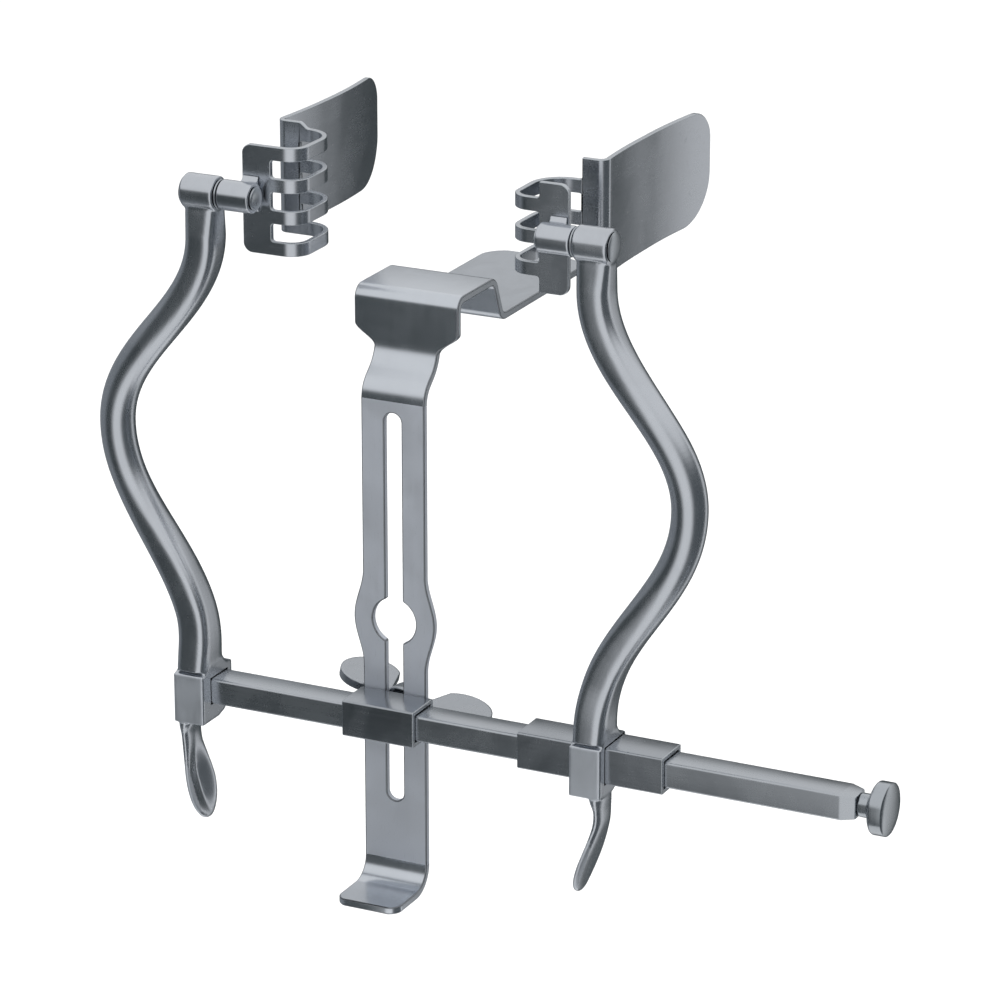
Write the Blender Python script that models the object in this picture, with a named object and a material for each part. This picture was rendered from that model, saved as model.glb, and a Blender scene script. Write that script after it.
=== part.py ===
"""Self-retaining bladder retractor: a crossbar with a fixed arm and a sliding arm,
a slotted lateral blade hinged to the head of each arm, and a centre blade that a wing
nut clamps behind a slider on the bar.

X runs along the crossbar from the fixed arm, Y goes back towards the blades, +Z is up.
The origin is the middle of the crossbar's fixed end face. Sizes are in metres.
"""

import math

import bmesh
import bpy
from mathutils import Vector
from mathutils.geometry import interpolate_bezier

MM = 0.001
AXIS_X = Vector((1, 0, 0))
AXIS_Y = Vector((0, 1, 0))
AXIS_Z = Vector((0, 0, 1))

# Clearances
SEAT_GAP = 0.3 * MM
SLIDE_GAP = 0.3 * MM
PIN_GAP = 0.3 * MM

# Crossbar and its end knob
BAR_HEIGHT = 8.0 * MM
BAR_DEPTH = 10.0 * MM
BAR_OVERHANG = 77.0 * MM
BAR_EDGE = 0.7 * MM
NOSE_LENGTH = 4.0 * MM
NOSE_SIZE = 7.0 * MM
KNOB_NECK_RADIUS = 3.5 * MM
KNOB_NECK_LENGTH = 3.0 * MM
KNOB_RADIUS = 7.8 * MM
KNOB_CONE = 1.9 * MM
KNOB_RIM = 3.7 * MM
KNOB_DOME = 0.9 * MM
KNOB_SHANK_RADIUS = 2.0 * MM
KNOB_SHANK_LENGTH = 12.0 * MM

# Arms: the block on the bar, the bowed shank, the knuckle and the thumb grip
ARM_SPACING = 130.0 * MM
BLOCK_WIDTH = 10.0 * MM
BLOCK_FRONT = 10.0 * MM
BLOCK_BACK = 8.0 * MM
BLOCK_DROP = 9.5 * MM
BLOCK_RISE = 8.0 * MM
BLOCK_FILLET = 6.0 * MM
BLOCK_FILLET_SWEEP = 55
BLOCK_EDGE = 0.8 * MM
BLOCK_SHOULDER = 2.0 * MM
ARM_HEIGHT = 152.6 * MM
ARM_BOW = 27.6 * MM
ARM_BOW_HEIGHT = 79.0 * MM
ARM_FOOT_HEIGHT = 12.0 * MM
ARM_NECK_DROP = 13.0 * MM
ARM_RADIUS = 5.3 * MM
ARM_HEAD_HALF_WIDTH = 4.9 * MM
ARM_HEAD_HALF_DEPTH = 5.8 * MM
ARM_HEAD_BACK = 2.0 * MM
BEZIER_PULL = 0.4
KNUCKLE_INSET = 2.5 * MM
KNUCKLE_EDGE = 0.5 * MM
HINGE_BACK = 1.0 * MM
KNUCKLE_RADIUS = 5.2 * MM
KNUCKLE_LENGTH = 10.8 * MM
GRIP_LENGTH = 31.0 * MM
GRIP_THICKNESS = 3.0 * MM
GRIP_WIDTH = 15.6 * MM
GRIP_DISH = 0.7 * MM
FIXING_PIN_RADIUS = 1.5 * MM
FIXING_PIN_DEPTH = 7.0 * MM

# Sleeve of the sliding arm and slider of the centre blade
SLEEVE_WALL = 1.3 * MM
SLEEVE_LENGTH = 46.0 * MM
SLIDER_WALL = 1.3 * MM
SLIDER_LENGTH = 23.4 * MM
SLIDER_EDGE = 0.6 * MM
SLIDER_SHIFT = 1.2 * MM
STUD_X = 65.4 * MM

# Clamp stud and wing nut behind the slider
STUD_RADIUS = 2.2 * MM
STUD_SEAT = 1.0 * MM
STUD_LENGTH = 18.0 * MM
STUD_EDGE = 0.6 * MM
NUT_RADIUS = 5.9 * MM
NUT_TIP_RADIUS = 4.6 * MM
NUT_HEIGHT = 9.5 * MM
WING_REACH = 24.8 * MM
WING_THICKNESS = 2.8 * MM
WING_EDGE = 0.7 * MM
WING_SETBACK = 1.2 * MM
WING_ROOT = 6.0 * MM
WING_RADIUS = 9.2 * MM
WING_LIFT = 8.2 * MM
WING_TILT = math.radians(12)

# Centre blade: hook, slotted strip, joggle, plate, step and horizontal blade
SHEET = 2.2 * MM
STRIP_WIDTH = 20.5 * MM
HOOK_REACH = 13.0 * MM
HOOK_RADIUS = 7.5 * MM
HOOK_DROP = 56.0 * MM
HOOK_CORNER = 4.0 * MM
SLOT_WIDTH = 5.6 * MM
SLOT_BOTTOM = -29.5 * MM
SLOT_TOP = 91.8 * MM
KEYHOLE_HEIGHT = 27.5 * MM
KEYHOLE_RADIUS = 7.1 * MM
BULGE_WIDTH = 26.4 * MM
BULGE_REACH = 15.0 * MM
JOGGLE_HEIGHT = 97.0 * MM
JOGGLE_BACK = 9.0 * MM
JOGGLE_RADIUS = 4.0 * MM
JOGGLE_ANGLE = math.radians(50)
PLATE_WIDTH = 33.6 * MM
PLATE_FLARE = 6.5 * MM
PLATE_TOP = 126.0 * MM
PLATE_RADIUS = 3.0 * MM
SHELF_DEPTH = 24.5 * MM
STEP_DROP = 12.4 * MM
STEP_ANGLE = math.radians(68)
STEP_RADIUS = 2.4 * MM
REACH_BACK = 106.0 * MM
REACH_CORNER = 8.0 * MM

# Lateral blades, measured inwards from the knuckle
BLADE_SHEET = 1.6 * MM
FLANGE_OUT = 10.4 * MM
FLANGE_WIDTH = 9.3 * MM
FLANGE_CORNER = 3.0 * MM
FLANGE_FRONT = 4.6 * MM
BLADE_HEIGHT = 32.4 * MM
BLADE_DROP = 17.8 * MM
LOOP_REACH = 29.4 * MM
LOOP_DEPTH = 24.2 * MM
LOOP_FRONT_RADIUS = 5.2 * MM
LOOP_REAR_RADIUS = 9.0 * MM
BEND_RADIUS = 2.2 * MM
LEFT_BLADE_REACH = 92.0 * MM
RIGHT_BLADE_REACH = 96.5 * MM
BLADE_FLARE = 3.0 * MM
FLARE_LENGTH = 35.0 * MM
BLADE_SLOPE = 0.6 * MM
PLATE_RAISE = 1.8 * MM
RAISE_RUN = 3.0 * MM
BLADE_TOP_CORNER = 9.0 * MM
BLADE_LOW_CORNER = 15.0 * MM
LEFT_RUNGS = 4
RUNG_HEIGHT = 4.1 * MM
SLOT_END_RADIUS = 0.9 * MM
REAR_SLOT_END = 6.6 * MM

# Hinges of the lateral blades
BARREL_RADIUS = 4.5 * MM
BARREL_LENGTH = 10.4 * MM
BARREL_FOOT = 3.6 * MM
BARREL_FILLET = 2.4 * MM
BARREL_EDGE = 0.4 * MM
WASHER_THICKNESS = 0.5 * MM
WASHER_RADIUS = 4.4 * MM
PIN_RADIUS = 2.3 * MM
PIN_HEAD_RADIUS = 4.3 * MM
PIN_HEAD = 0.6 * MM
PIN_TAIL_RADIUS = 3.4 * MM
PIN_TAIL = 0.7 * MM

# Directions in which arcs start and end, in degrees
EAST, NORTH, WEST, SOUTH = 0, 90, 180, 270
FULL_TURN = 360

# Smoothness of the round shapes
ROUND_STEPS = 24
ARM_SIDES = 20
ARM_STATIONS = 11

# Values that follow from the ones above
LEFT_BLOCK_X = BLOCK_WIDTH / 2
RIGHT_BLOCK_X = LEFT_BLOCK_X + ARM_SPACING
BAR_LENGTH = RIGHT_BLOCK_X + BAR_OVERHANG
RUNG_PITCH = (BLADE_HEIGHT - RUNG_HEIGHT) / (LEFT_RUNGS - 1)
SLEEVE_HEIGHT = BAR_HEIGHT + 2 * (SLIDE_GAP + SLEEVE_WALL)
SLEEVE_DEPTH = BAR_DEPTH + 2 * (SLIDE_GAP + SLEEVE_WALL)
SLIDER_HEIGHT = BAR_HEIGHT + 2 * (SLIDE_GAP + SLIDER_WALL)
SLIDER_DEPTH = BAR_DEPTH + 2 * (SLIDE_GAP + SLIDER_WALL)
STRIP_Y = SLIDER_DEPTH / 2 + SEAT_GAP + SHEET / 2
BARREL_START = KNUCKLE_LENGTH / 2 + WASHER_THICKNESS + 2 * SEAT_GAP


def clear_objects():
    for item in list(bpy.data.objects):
        bpy.data.objects.remove(item)


def steel(name, tone, roughness):
    """Stainless steel with a neutral tone between 0 and 1."""
    material = bpy.data.materials.new(name)
    material.use_nodes = True
    shader = material.node_tree.nodes["Principled BSDF"]
    shader.inputs["Base Color"].default_value = (tone, tone, tone * 1.01, 1)
    shader.inputs["Metallic"].default_value = 1.0
    shader.inputs["Roughness"].default_value = roughness
    return material


def make_object(name, bm, tone=0.62, roughness=0.3, origin=(0, 0, 0)):
    """Turn world geometry into an object whose origin lies at the given point."""
    bmesh.ops.recalc_face_normals(bm, faces=bm.faces)
    bmesh.ops.translate(bm, verts=bm.verts, vec=-Vector(origin))
    mesh = bpy.data.meshes.new(name)
    bm.to_mesh(mesh)
    bm.free()
    mesh.shade_smooth()
    mesh.set_sharp_from_angle(angle=math.radians(35))
    mesh.materials.append(steel(name + "_steel", tone, roughness))
    item = bpy.data.objects.new(name, mesh)
    item.location = origin
    bpy.context.collection.objects.link(item)
    return item


def make_tool(name, bm):
    """A shape that is only joined to, or cut from, another one."""
    tool = make_object(name, bm)
    tool.hide_render = True
    tool.display_type = "WIRE"
    return tool


def combine(target, tool, operation):
    step = target.modifiers.new(tool.name, "BOOLEAN")
    step.operation = operation
    step.solver = "EXACT"
    step.object = tool


def loft(bm, rings):
    """Skin a row of equal rings and close both ends."""
    rows = [[bm.verts.new(point) for point in ring] for ring in rings]
    count = len(rows[0])
    for row, following in zip(rows, rows[1:]):
        for i in range(count):
            j = (i + 1) % count
            bm.faces.new((row[i], row[j], following[j], following[i]))
    bm.faces.new(rows[0])
    bm.faces.new(reversed(rows[-1]))
    return bm


def box(low, high, edge=0.0):
    """A box between two corners, with its edges rounded where edge is given."""
    bm = bmesh.new()
    low, high = Vector(low), Vector(high)
    bmesh.ops.create_cube(bm, size=1)
    size = high - low
    for vert in bm.verts:
        vert.co = (low + high) / 2 + Vector(a * b for a, b in zip(vert.co, size))
    if edge:
        bmesh.ops.bevel(
            bm, geom=bm.edges[:], offset=edge, segments=2, profile=0.5, affect="EDGES"
        )
    return bm


def prism(outline, axis, start, end):
    """Extrude an outline of (a, b) points along axis, from start to end."""
    across, along = {
        AXIS_X[:]: (AXIS_Y, AXIS_Z),
        AXIS_Y[:]: (AXIS_X, AXIS_Z),
        AXIS_Z[:]: (AXIS_X, AXIS_Y),
    }[axis[:]]
    rings = [
        [across * a + along * b + axis * place for a, b in outline] for place in (start, end)
    ]
    return loft(bmesh.new(), rings)


def turned(profile, axis, centre, steps=ROUND_STEPS):
    """Revolve a profile of (distance along axis, radius) points."""
    side = AXIS_Z if axis == AXIS_X else AXIS_X
    other = axis.cross(side)
    rings = []
    for distance, radius in profile:
        middle = Vector(centre) + axis * distance
        angles = [2 * math.pi * (i + 0.5) / steps for i in range(steps)]
        rings.append(
            [middle + (side * math.cos(a) + other * math.sin(a)) * radius for a in angles]
        )
    return loft(bmesh.new(), rings)


def arc(centre, radius, start, end, steps):
    """Points on an arc, with the angles in degrees."""
    points = []
    for i in range(steps + 1):
        angle = math.radians(start + (end - start) * i / steps)
        points.append(
            (centre[0] + radius * math.cos(angle), centre[1] + radius * math.sin(angle))
        )
    return points


def walk(start, heading, moves):
    """Follow lines and arcs in a plane. Each station is (point, heading, distance)."""
    point, distance = Vector(start), 0.0
    stations = [(point.copy(), heading, distance)]
    for kind, length, turn, steps in moves:
        for _ in range(steps):
            middle = heading + turn / steps / 2
            chord = length / steps
            if kind == "arc":
                chord = 2 * length * math.sin(abs(turn) / steps / 2)
            point = point + Vector((math.cos(middle), math.sin(middle))) * chord
            heading += turn / steps
            distance += chord
            stations.append((point.copy(), heading, distance))
    return stations


def line(length, steps=1):
    return ("line", length, 0.0, steps)


def bend(radius, turn, steps=6):
    return ("arc", radius, turn, steps)


def joggle(offset, angle, radius, turn):
    """A double bend that moves a sheet sideways; turn is the side it goes to."""
    slope = (offset - 2 * radius * (1 - math.cos(angle))) / math.sin(angle)
    return [bend(radius, turn * angle), line(slope), bend(radius, -turn * angle)]


def joggle_run(offset, angle, radius):
    """Distance that a joggle covers along its first direction."""
    slope = (offset - 2 * radius * (1 - math.cos(angle))) / math.sin(angle)
    return 2 * radius * math.sin(angle) + slope * math.cos(angle)


def ribbon(stations, to_world, edges, thickness):
    """A bent sheet: to_world places (a, b, width) and edges gives its two sides."""
    rings = []
    for point, heading, distance in stations:
        low, high = edges(point, distance)
        normal = Vector((-math.sin(heading), math.cos(heading))) * thickness / 2
        near, far = point + normal, point - normal
        rings.append(
            [to_world(near, low), to_world(near, high), to_world(far, high), to_world(far, low)]
        )
    return loft(bmesh.new(), rings)


def corner_inset(distance, radius):
    """How far a rounded corner lies inside its edge, at a distance from the end."""
    if distance >= radius:
        return 0.0
    return radius - math.sqrt(max(0.0, radius**2 - (radius - distance) ** 2))


def smooth_step(value):
    value = min(max(value, 0.0), 1.0)
    return value * value * (3 - 2 * value)


def build_crossbar():
    half_depth, half_height = BAR_DEPTH / 2, BAR_HEIGHT / 2
    bm = box((0, -half_depth, -half_height), (BAR_LENGTH, half_depth, half_height))
    long_edges = [
        edge for edge in bm.edges if abs(edge.verts[0].co.x - edge.verts[1].co.x) > MM
    ]
    bmesh.ops.bevel(
        bm, geom=long_edges, offset=BAR_EDGE, segments=2, profile=0.5, affect="EDGES"
    )
    end_face = max(bm.faces, key=lambda face: face.calc_center_median().x)
    nose = bmesh.ops.extrude_discrete_faces(bm, faces=[end_face])["faces"][0]
    for vert in nose.verts:
        vert.co.x += NOSE_LENGTH
        vert.co.y *= NOSE_SIZE / BAR_DEPTH
        vert.co.z *= NOSE_SIZE / BAR_HEIGHT
    crossbar = make_object("crossbar", bm, tone=0.6, roughness=0.26)
    tip = BAR_LENGTH + NOSE_LENGTH
    bore = [(-KNOB_SHANK_LENGTH - SEAT_GAP, KNOB_SHANK_RADIUS + PIN_GAP)]
    bore.append((MM, KNOB_SHANK_RADIUS + PIN_GAP))
    combine(crossbar, make_tool("knob_bore", turned(bore, AXIS_X, (tip, 0, 0))), "DIFFERENCE")
    socket = [(-FIXING_PIN_DEPTH, FIXING_PIN_RADIUS + PIN_GAP), (MM, FIXING_PIN_RADIUS + PIN_GAP)]
    place = (LEFT_BLOCK_X, half_depth, 0)
    combine(crossbar, make_tool("pin_socket", turned(socket, AXIS_Y, place)), "DIFFERENCE")
    return crossbar


def build_end_knob():
    seat = SEAT_GAP
    cone_start = seat + KNOB_NECK_LENGTH
    rim_start = cone_start + KNOB_CONE
    rim_end = rim_start + KNOB_RIM
    profile = [
        (-KNOB_SHANK_LENGTH, KNOB_SHANK_RADIUS),
        (seat, KNOB_SHANK_RADIUS),
        (seat, KNOB_NECK_RADIUS),
        (cone_start, KNOB_NECK_RADIUS),
        (rim_start - 0.3 * KNOB_CONE, KNOB_RADIUS - 0.4 * KNOB_CONE),
        (rim_start, KNOB_RADIUS),
        (rim_end, KNOB_RADIUS),
    ]
    for along, across in arc((0, 0), 1.0, 15, 75, 4):
        profile.append((rim_end + KNOB_DOME * across, KNOB_RADIUS * along))
    tip = (BAR_LENGTH + NOSE_LENGTH, 0, 0)
    return make_object("end_knob", turned(profile, AXIS_X, tip), 0.6, 0.22, origin=tip)


def arm_centreline():
    """Points (outward, height) of the bowed shank, from the knuckle to the block."""
    head = Vector((-KNUCKLE_INSET, ARM_HEIGHT - ARM_NECK_DROP, 0))
    bow = Vector((ARM_BOW, ARM_BOW_HEIGHT, 0))
    foot = Vector((0, ARM_FOOT_HEIGHT, 0))
    points = []
    for start, end in ((head, bow), (bow, foot)):
        handle = Vector((0, (end.y - start.y) * BEZIER_PULL, 0))
        curve = interpolate_bezier(start, start + handle, end - handle, end, ARM_STATIONS)
        points += curve[1:] if points else curve
    return points


def arm_ring(centre, slope, half_across, half_depth, squareness, dish=0.0):
    """A rounded section. centre is (outward, back, height), slope tilts it outwards."""
    ring = []
    for i in range(ARM_SIDES):
        angle = 2 * math.pi * (i + 0.5) / ARM_SIDES
        c, s = math.cos(angle), math.sin(angle)
        across = half_across * math.copysign(abs(c) ** (2 / squareness), c)
        back = half_depth * math.copysign(abs(s) ** (2 / squareness), s)
        if across < 0:
            across += dish * (1 - abs(s)) * 2
        ring.append(
            Vector(
                (
                    centre[0] + across * math.cos(slope),
                    centre[1] + back,
                    centre[2] - across * math.sin(slope),
                )
            )
        )
    return ring


def mirrored(rings, block_x, side):
    return [[Vector((block_x + side * p.x, p.y, p.z)) for p in ring] for ring in rings]


def shank_rings():
    """Sections of the shank from inside the knuckle down into the block."""
    rings = []
    for drop, width, depth in ((1 * MM, 1.0, 0.62), (6 * MM, 1.04, 0.8)):
        back = HINGE_BACK + (ARM_HEAD_BACK - HINGE_BACK) * depth
        centre = (-KNUCKLE_INSET, back, ARM_HEIGHT - drop)
        rings.append(
            arm_ring(centre, 0, width * ARM_HEAD_HALF_WIDTH, depth * ARM_HEAD_HALF_DEPTH, 4)
        )
    points = arm_centreline()
    for i, point in enumerate(points):
        before, after = points[max(i - 1, 0)], points[min(i + 1, len(points) - 1)]
        slope = math.atan2(after.x - before.x, before.y - after.y)
        share = i / (len(points) - 1)
        head = smooth_step(1 - share * 3)
        foot = smooth_step(share * 2.5 - 1.5)
        half_across = ARM_RADIUS * (1 - 0.06 * foot)
        half_across += head * (ARM_HEAD_HALF_WIDTH - ARM_RADIUS)
        half_depth = ARM_RADIUS * (1 + 0.1 * foot)
        half_depth += head * (ARM_HEAD_HALF_DEPTH - ARM_RADIUS)
        squareness = 2 + 1.6 * head + 2.4 * foot
        centre = (point.x, head * ARM_HEAD_BACK - foot * MM, point.y)
        rings.append(arm_ring(centre, -slope, half_across, half_depth, squareness))
    low = BAR_HEIGHT / 2 + SLEEVE_WALL + 2 * SLIDE_GAP
    rings.append(arm_ring((0, -MM, low + MM), 0, 0.92 * ARM_RADIUS, 1.15 * ARM_RADIUS, 4.4))
    return rings


def grip_rings():
    """Thumb grip: from the outer side of the block, in and forward to a round tip."""
    # share of the length, outward mm, back mm, share of thickness, of width, of the dish
    table = (
        (-0.11, 2.0, -4.4, 1.7, 0.56, 0.0),
        (0.03, 2.6, -4.2, 1.5, 0.7, 0.0),
        (0.15, 2.9, -3.6, 1.0, 0.66, 0.1),
        (0.29, 2.6, -3.4, 1.0, 0.67, 0.3),
        (0.42, 1.6, -3.6, 1.0, 0.8, 0.7),
        (0.55, 0.4, -4.0, 1.0, 0.94, 1.0),
        (0.68, -0.9, -4.4, 1.0, 1.0, 1.0),
        (0.81, -2.1, -4.8, 0.95, 0.9, 0.8),
        (0.9, -2.8, -5.0, 0.85, 0.7, 0.4),
        (0.97, -3.2, -5.1, 0.7, 0.42, 0.0),
        (1.0, -3.4, -5.1, 0.4, 0.18, 0.0),
    )
    rings = []
    for i, (share, out, back, thick, wide, dish) in enumerate(table):
        before, after = table[max(i - 1, 0)], table[min(i + 1, len(table) - 1)]
        run = (after[0] - before[0]) * GRIP_LENGTH
        slope = math.atan2((after[1] - before[1]) * MM, run)
        centre = (out * MM, back * MM, -BLOCK_DROP - share * GRIP_LENGTH)
        half_thick, half_wide = thick * GRIP_THICKNESS / 2, wide * GRIP_WIDTH / 2
        rings.append(arm_ring(centre, -slope, half_thick, half_wide, 2.4, dish * GRIP_DISH))
    return rings


def block_outline():
    """Side profile of the block (back, height), with its fillets to shank and grip."""
    front, back, bottom = -BLOCK_FRONT, BLOCK_BACK, -BLOCK_DROP
    shoulder = BLOCK_RISE - BLOCK_SHOULDER
    outline = [(front, bottom + BLOCK_EDGE), (front + BLOCK_EDGE, bottom), (0, bottom)]
    low, high = bottom - BLOCK_FILLET / 2, shoulder + BLOCK_FILLET
    sweep = BLOCK_FILLET_SWEEP
    outline += arc((back, low), BLOCK_FILLET, NORTH + sweep, NORTH, 5)[1:]
    outline += arc((back, high), BLOCK_FILLET, SOUTH, SOUTH - sweep, 4)
    outline += arc((front, high), BLOCK_FILLET, SOUTH + sweep, SOUTH, 4)
    return outline


def build_arm(name, block_x, side, hole_height, hole_depth):
    """One arm as a single forging: block, bowed shank, knuckle and thumb grip."""
    half = BLOCK_WIDTH / 2
    body = prism(block_outline(), AXIS_X, block_x - half, block_x + half)
    rim = [
        edge
        for edge in body.edges
        if len(edge.link_faces) == 2 and edge.calc_face_angle() > math.radians(60)
    ]
    bmesh.ops.bevel(
        body, geom=rim, offset=BLOCK_EDGE, segments=2, profile=0.5, affect="EDGES"
    )
    hinge = Vector((block_x - side * KNUCKLE_INSET, HINGE_BACK, ARM_HEIGHT))
    arm = make_object(name, body, tone=0.6, roughness=0.28, origin=(block_x, 0, 0))
    shank = make_tool(name + "_shank", loft(bmesh.new(), mirrored(shank_rings(), block_x, side)))
    grip = make_tool(name + "_grip", loft(bmesh.new(), mirrored(grip_rings(), block_x, side)))
    half_knuckle = KNUCKLE_LENGTH / 2
    barrel = [
        (-half_knuckle, KNUCKLE_RADIUS - KNUCKLE_EDGE),
        (-half_knuckle + KNUCKLE_EDGE, KNUCKLE_RADIUS),
        (half_knuckle - KNUCKLE_EDGE, KNUCKLE_RADIUS),
        (half_knuckle, KNUCKLE_RADIUS - KNUCKLE_EDGE),
    ]
    knuckle = make_tool(name + "_knuckle", turned(barrel, AXIS_X, hinge))
    bore = [(-half_knuckle - MM, PIN_RADIUS + PIN_GAP), (half_knuckle + MM, PIN_RADIUS + PIN_GAP)]
    pin_bore = make_tool(name + "_pin_bore", turned(bore, AXIS_X, hinge))
    hole = make_tool(
        name + "_bar_hole",
        box(
            (block_x - BLOCK_WIDTH, -hole_depth / 2, -hole_height / 2),
            (block_x + BLOCK_WIDTH, hole_depth / 2, hole_height / 2),
        ),
    )
    for tool in (shank, grip, knuckle):
        combine(arm, tool, "UNION")
    for tool in (pin_bore, hole):
        combine(arm, tool, "DIFFERENCE")
    return arm


def build_left_arm():
    arm = build_arm(
        "left_arm", LEFT_BLOCK_X, -1, BAR_HEIGHT + 2 * SEAT_GAP, BAR_DEPTH + 2 * SEAT_GAP
    )
    radius = FIXING_PIN_RADIUS + PIN_GAP
    hole = turned([(0, radius), (BLOCK_BACK + MM, radius)], AXIS_Y, (LEFT_BLOCK_X, 0, 0))
    combine(arm, make_tool("left_arm_fixing_hole", hole), "DIFFERENCE")
    return arm


def build_right_arm():
    return build_arm(
        "right_arm",
        RIGHT_BLOCK_X,
        1,
        SLEEVE_HEIGHT + 2 * SEAT_GAP,
        SLEEVE_DEPTH + 2 * SEAT_GAP,
    )


def build_fixing_pin():
    """Cross pin that holds the bar in the fixed block, driven in from behind."""
    start = BAR_DEPTH / 2 - FIXING_PIN_DEPTH + SEAT_GAP
    profile = [(start, FIXING_PIN_RADIUS), (BLOCK_BACK, FIXING_PIN_RADIUS)]
    bm = turned(profile, AXIS_Y, (LEFT_BLOCK_X, 0, 0), steps=16)
    return make_object("bar_fixing_pin", bm, 0.55, 0.35, origin=(LEFT_BLOCK_X, 0, 0))


def build_sleeve(name, x, length, height, depth, edge):
    """A rectangular tube that runs on the bar."""
    low = (x - length / 2, -depth / 2, -height / 2)
    high = (x + length / 2, depth / 2, height / 2)
    sleeve = make_object(name, box(low, high, edge), 0.6, 0.26, origin=(x, 0, 0))
    hole_depth, hole_height = BAR_DEPTH + 2 * SLIDE_GAP, BAR_HEIGHT + 2 * SLIDE_GAP
    hole = box(
        (x - length, -hole_depth / 2, -hole_height / 2),
        (x + length, hole_depth / 2, hole_height / 2),
    )
    combine(sleeve, make_tool(name + "_hole", hole), "DIFFERENCE")
    return sleeve


def build_slider():
    slider = build_sleeve(
        "centre_slider",
        STUD_X + SLIDER_SHIFT,
        SLIDER_LENGTH,
        SLIDER_HEIGHT,
        SLIDER_DEPTH,
        SLIDER_EDGE,
    )
    back = SLIDER_DEPTH / 2
    radius = STUD_RADIUS + PIN_GAP
    seat = [(back - SLIDER_WALL - MM, radius), (back + MM, radius)]
    hole = turned(seat, AXIS_Y, (STUD_X, 0, 0))
    combine(slider, make_tool("stud_seat", hole), "DIFFERENCE")
    return slider


def build_stud():
    """Threaded stud, fixed in the back wall of the slider."""
    start = SLIDER_DEPTH / 2 - STUD_SEAT
    end = start + STUD_LENGTH
    profile = [(start, STUD_RADIUS), (end - STUD_EDGE, STUD_RADIUS)]
    profile.append((end, STUD_RADIUS - STUD_EDGE))
    bm = turned(profile, AXIS_Y, (STUD_X, 0, 0))
    return make_object("clamp_stud", bm, 0.55, 0.3, origin=(STUD_X, 0, 0))


def wing_outline(seat):
    """Both wings as one flat outline (across, back), widest at their round tips."""
    tip = WING_REACH - WING_RADIUS
    middle = seat + WING_ROOT / 2 + WING_LIFT
    front = seat + WING_SETBACK
    back = front + WING_ROOT
    right = [(0, front), (NUT_RADIUS, front)]
    right += arc((tip, middle), WING_RADIUS, -110, 140, 12)
    right += [(NUT_RADIUS, back), (0, back)]
    left = [(-a, b) for a, b in reversed(right[1:-1])]
    return right + left


def build_wing_nut():
    seat = STRIP_Y + SHEET / 2 + SEAT_GAP
    profile = [
        (seat, NUT_RADIUS - 0.4 * MM),
        (seat + 0.4 * MM, NUT_RADIUS),
        (seat + 0.6 * NUT_HEIGHT, NUT_RADIUS * 0.92),
        (seat + NUT_HEIGHT - 0.5 * MM, NUT_TIP_RADIUS),
        (seat + NUT_HEIGHT, NUT_TIP_RADIUS - 0.6 * MM),
    ]
    nut = make_object("wing_nut", turned(profile, AXIS_Y, (0, 0, 0)), 0.6, 0.24)
    half = WING_THICKNESS / 2
    wings = prism(wing_outline(seat), AXIS_Z, -half, half)
    rim = [edge for edge in wings.edges if edge.calc_face_angle() > math.radians(60)]
    bmesh.ops.bevel(
        wings, geom=rim, offset=WING_EDGE, segments=2, profile=0.5, affect="EDGES"
    )
    radius = STUD_RADIUS + PIN_GAP
    bore = turned([(seat - MM, radius), (seat + NUT_HEIGHT + MM, radius)], AXIS_Y, (0, 0, 0))
    tools = (
        (make_tool("wing_nut_wings", wings), "UNION"),
        (make_tool("wing_nut_bore", bore), "DIFFERENCE"),
    )
    for tool, operation in tools:
        combine(nut, tool, operation)
        tool.parent = nut
    nut.location = (STUD_X, 0, 0)
    nut.rotation_euler = (0, WING_TILT, 0)
    return nut


def centre_blade_stations():
    """Path of the centre blade in the (back, height) plane, from its hook end."""
    shelf = PLATE_TOP - SHEET / 2
    joggle_top = JOGGLE_HEIGHT + joggle_run(JOGGLE_BACK, JOGGLE_ANGLE, JOGGLE_RADIUS)
    hook_line = HOOK_REACH + STRIP_Y - HOOK_RADIUS
    moves = [line(HOOK_CORNER, 6), line(hook_line - HOOK_CORNER)]
    moves += [bend(HOOK_RADIUS, math.pi / 2, 10)]
    strip_start = HOOK_RADIUS - HOOK_DROP
    bulge_start = KEYHOLE_HEIGHT - BULGE_REACH
    moves += [line(bulge_start - strip_start), line(2 * BULGE_REACH, 20)]
    moves += [line(JOGGLE_HEIGHT - KEYHOLE_HEIGHT - BULGE_REACH)]
    moves += joggle(JOGGLE_BACK, JOGGLE_ANGLE, JOGGLE_RADIUS, -1)
    rise = shelf - PLATE_RADIUS - joggle_top - PLATE_FLARE
    moves += [line(PLATE_FLARE, 10), line(rise)]
    moves += [bend(PLATE_RADIUS, -math.pi / 2)]
    plate_y = STRIP_Y + JOGGLE_BACK
    step_radius = STEP_RADIUS + SHEET / 2
    moves += [line(SHELF_DEPTH - PLATE_RADIUS - step_radius)]
    moves += joggle(STEP_DROP, STEP_ANGLE, step_radius, -1)
    step_end = plate_y + SHELF_DEPTH - step_radius + joggle_run(STEP_DROP, STEP_ANGLE, step_radius)
    moves += [line(REACH_BACK - step_end - REACH_CORNER), line(REACH_CORNER, 10)]
    return walk((-HOOK_REACH, -HOOK_DROP), 0.0, moves)


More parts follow.
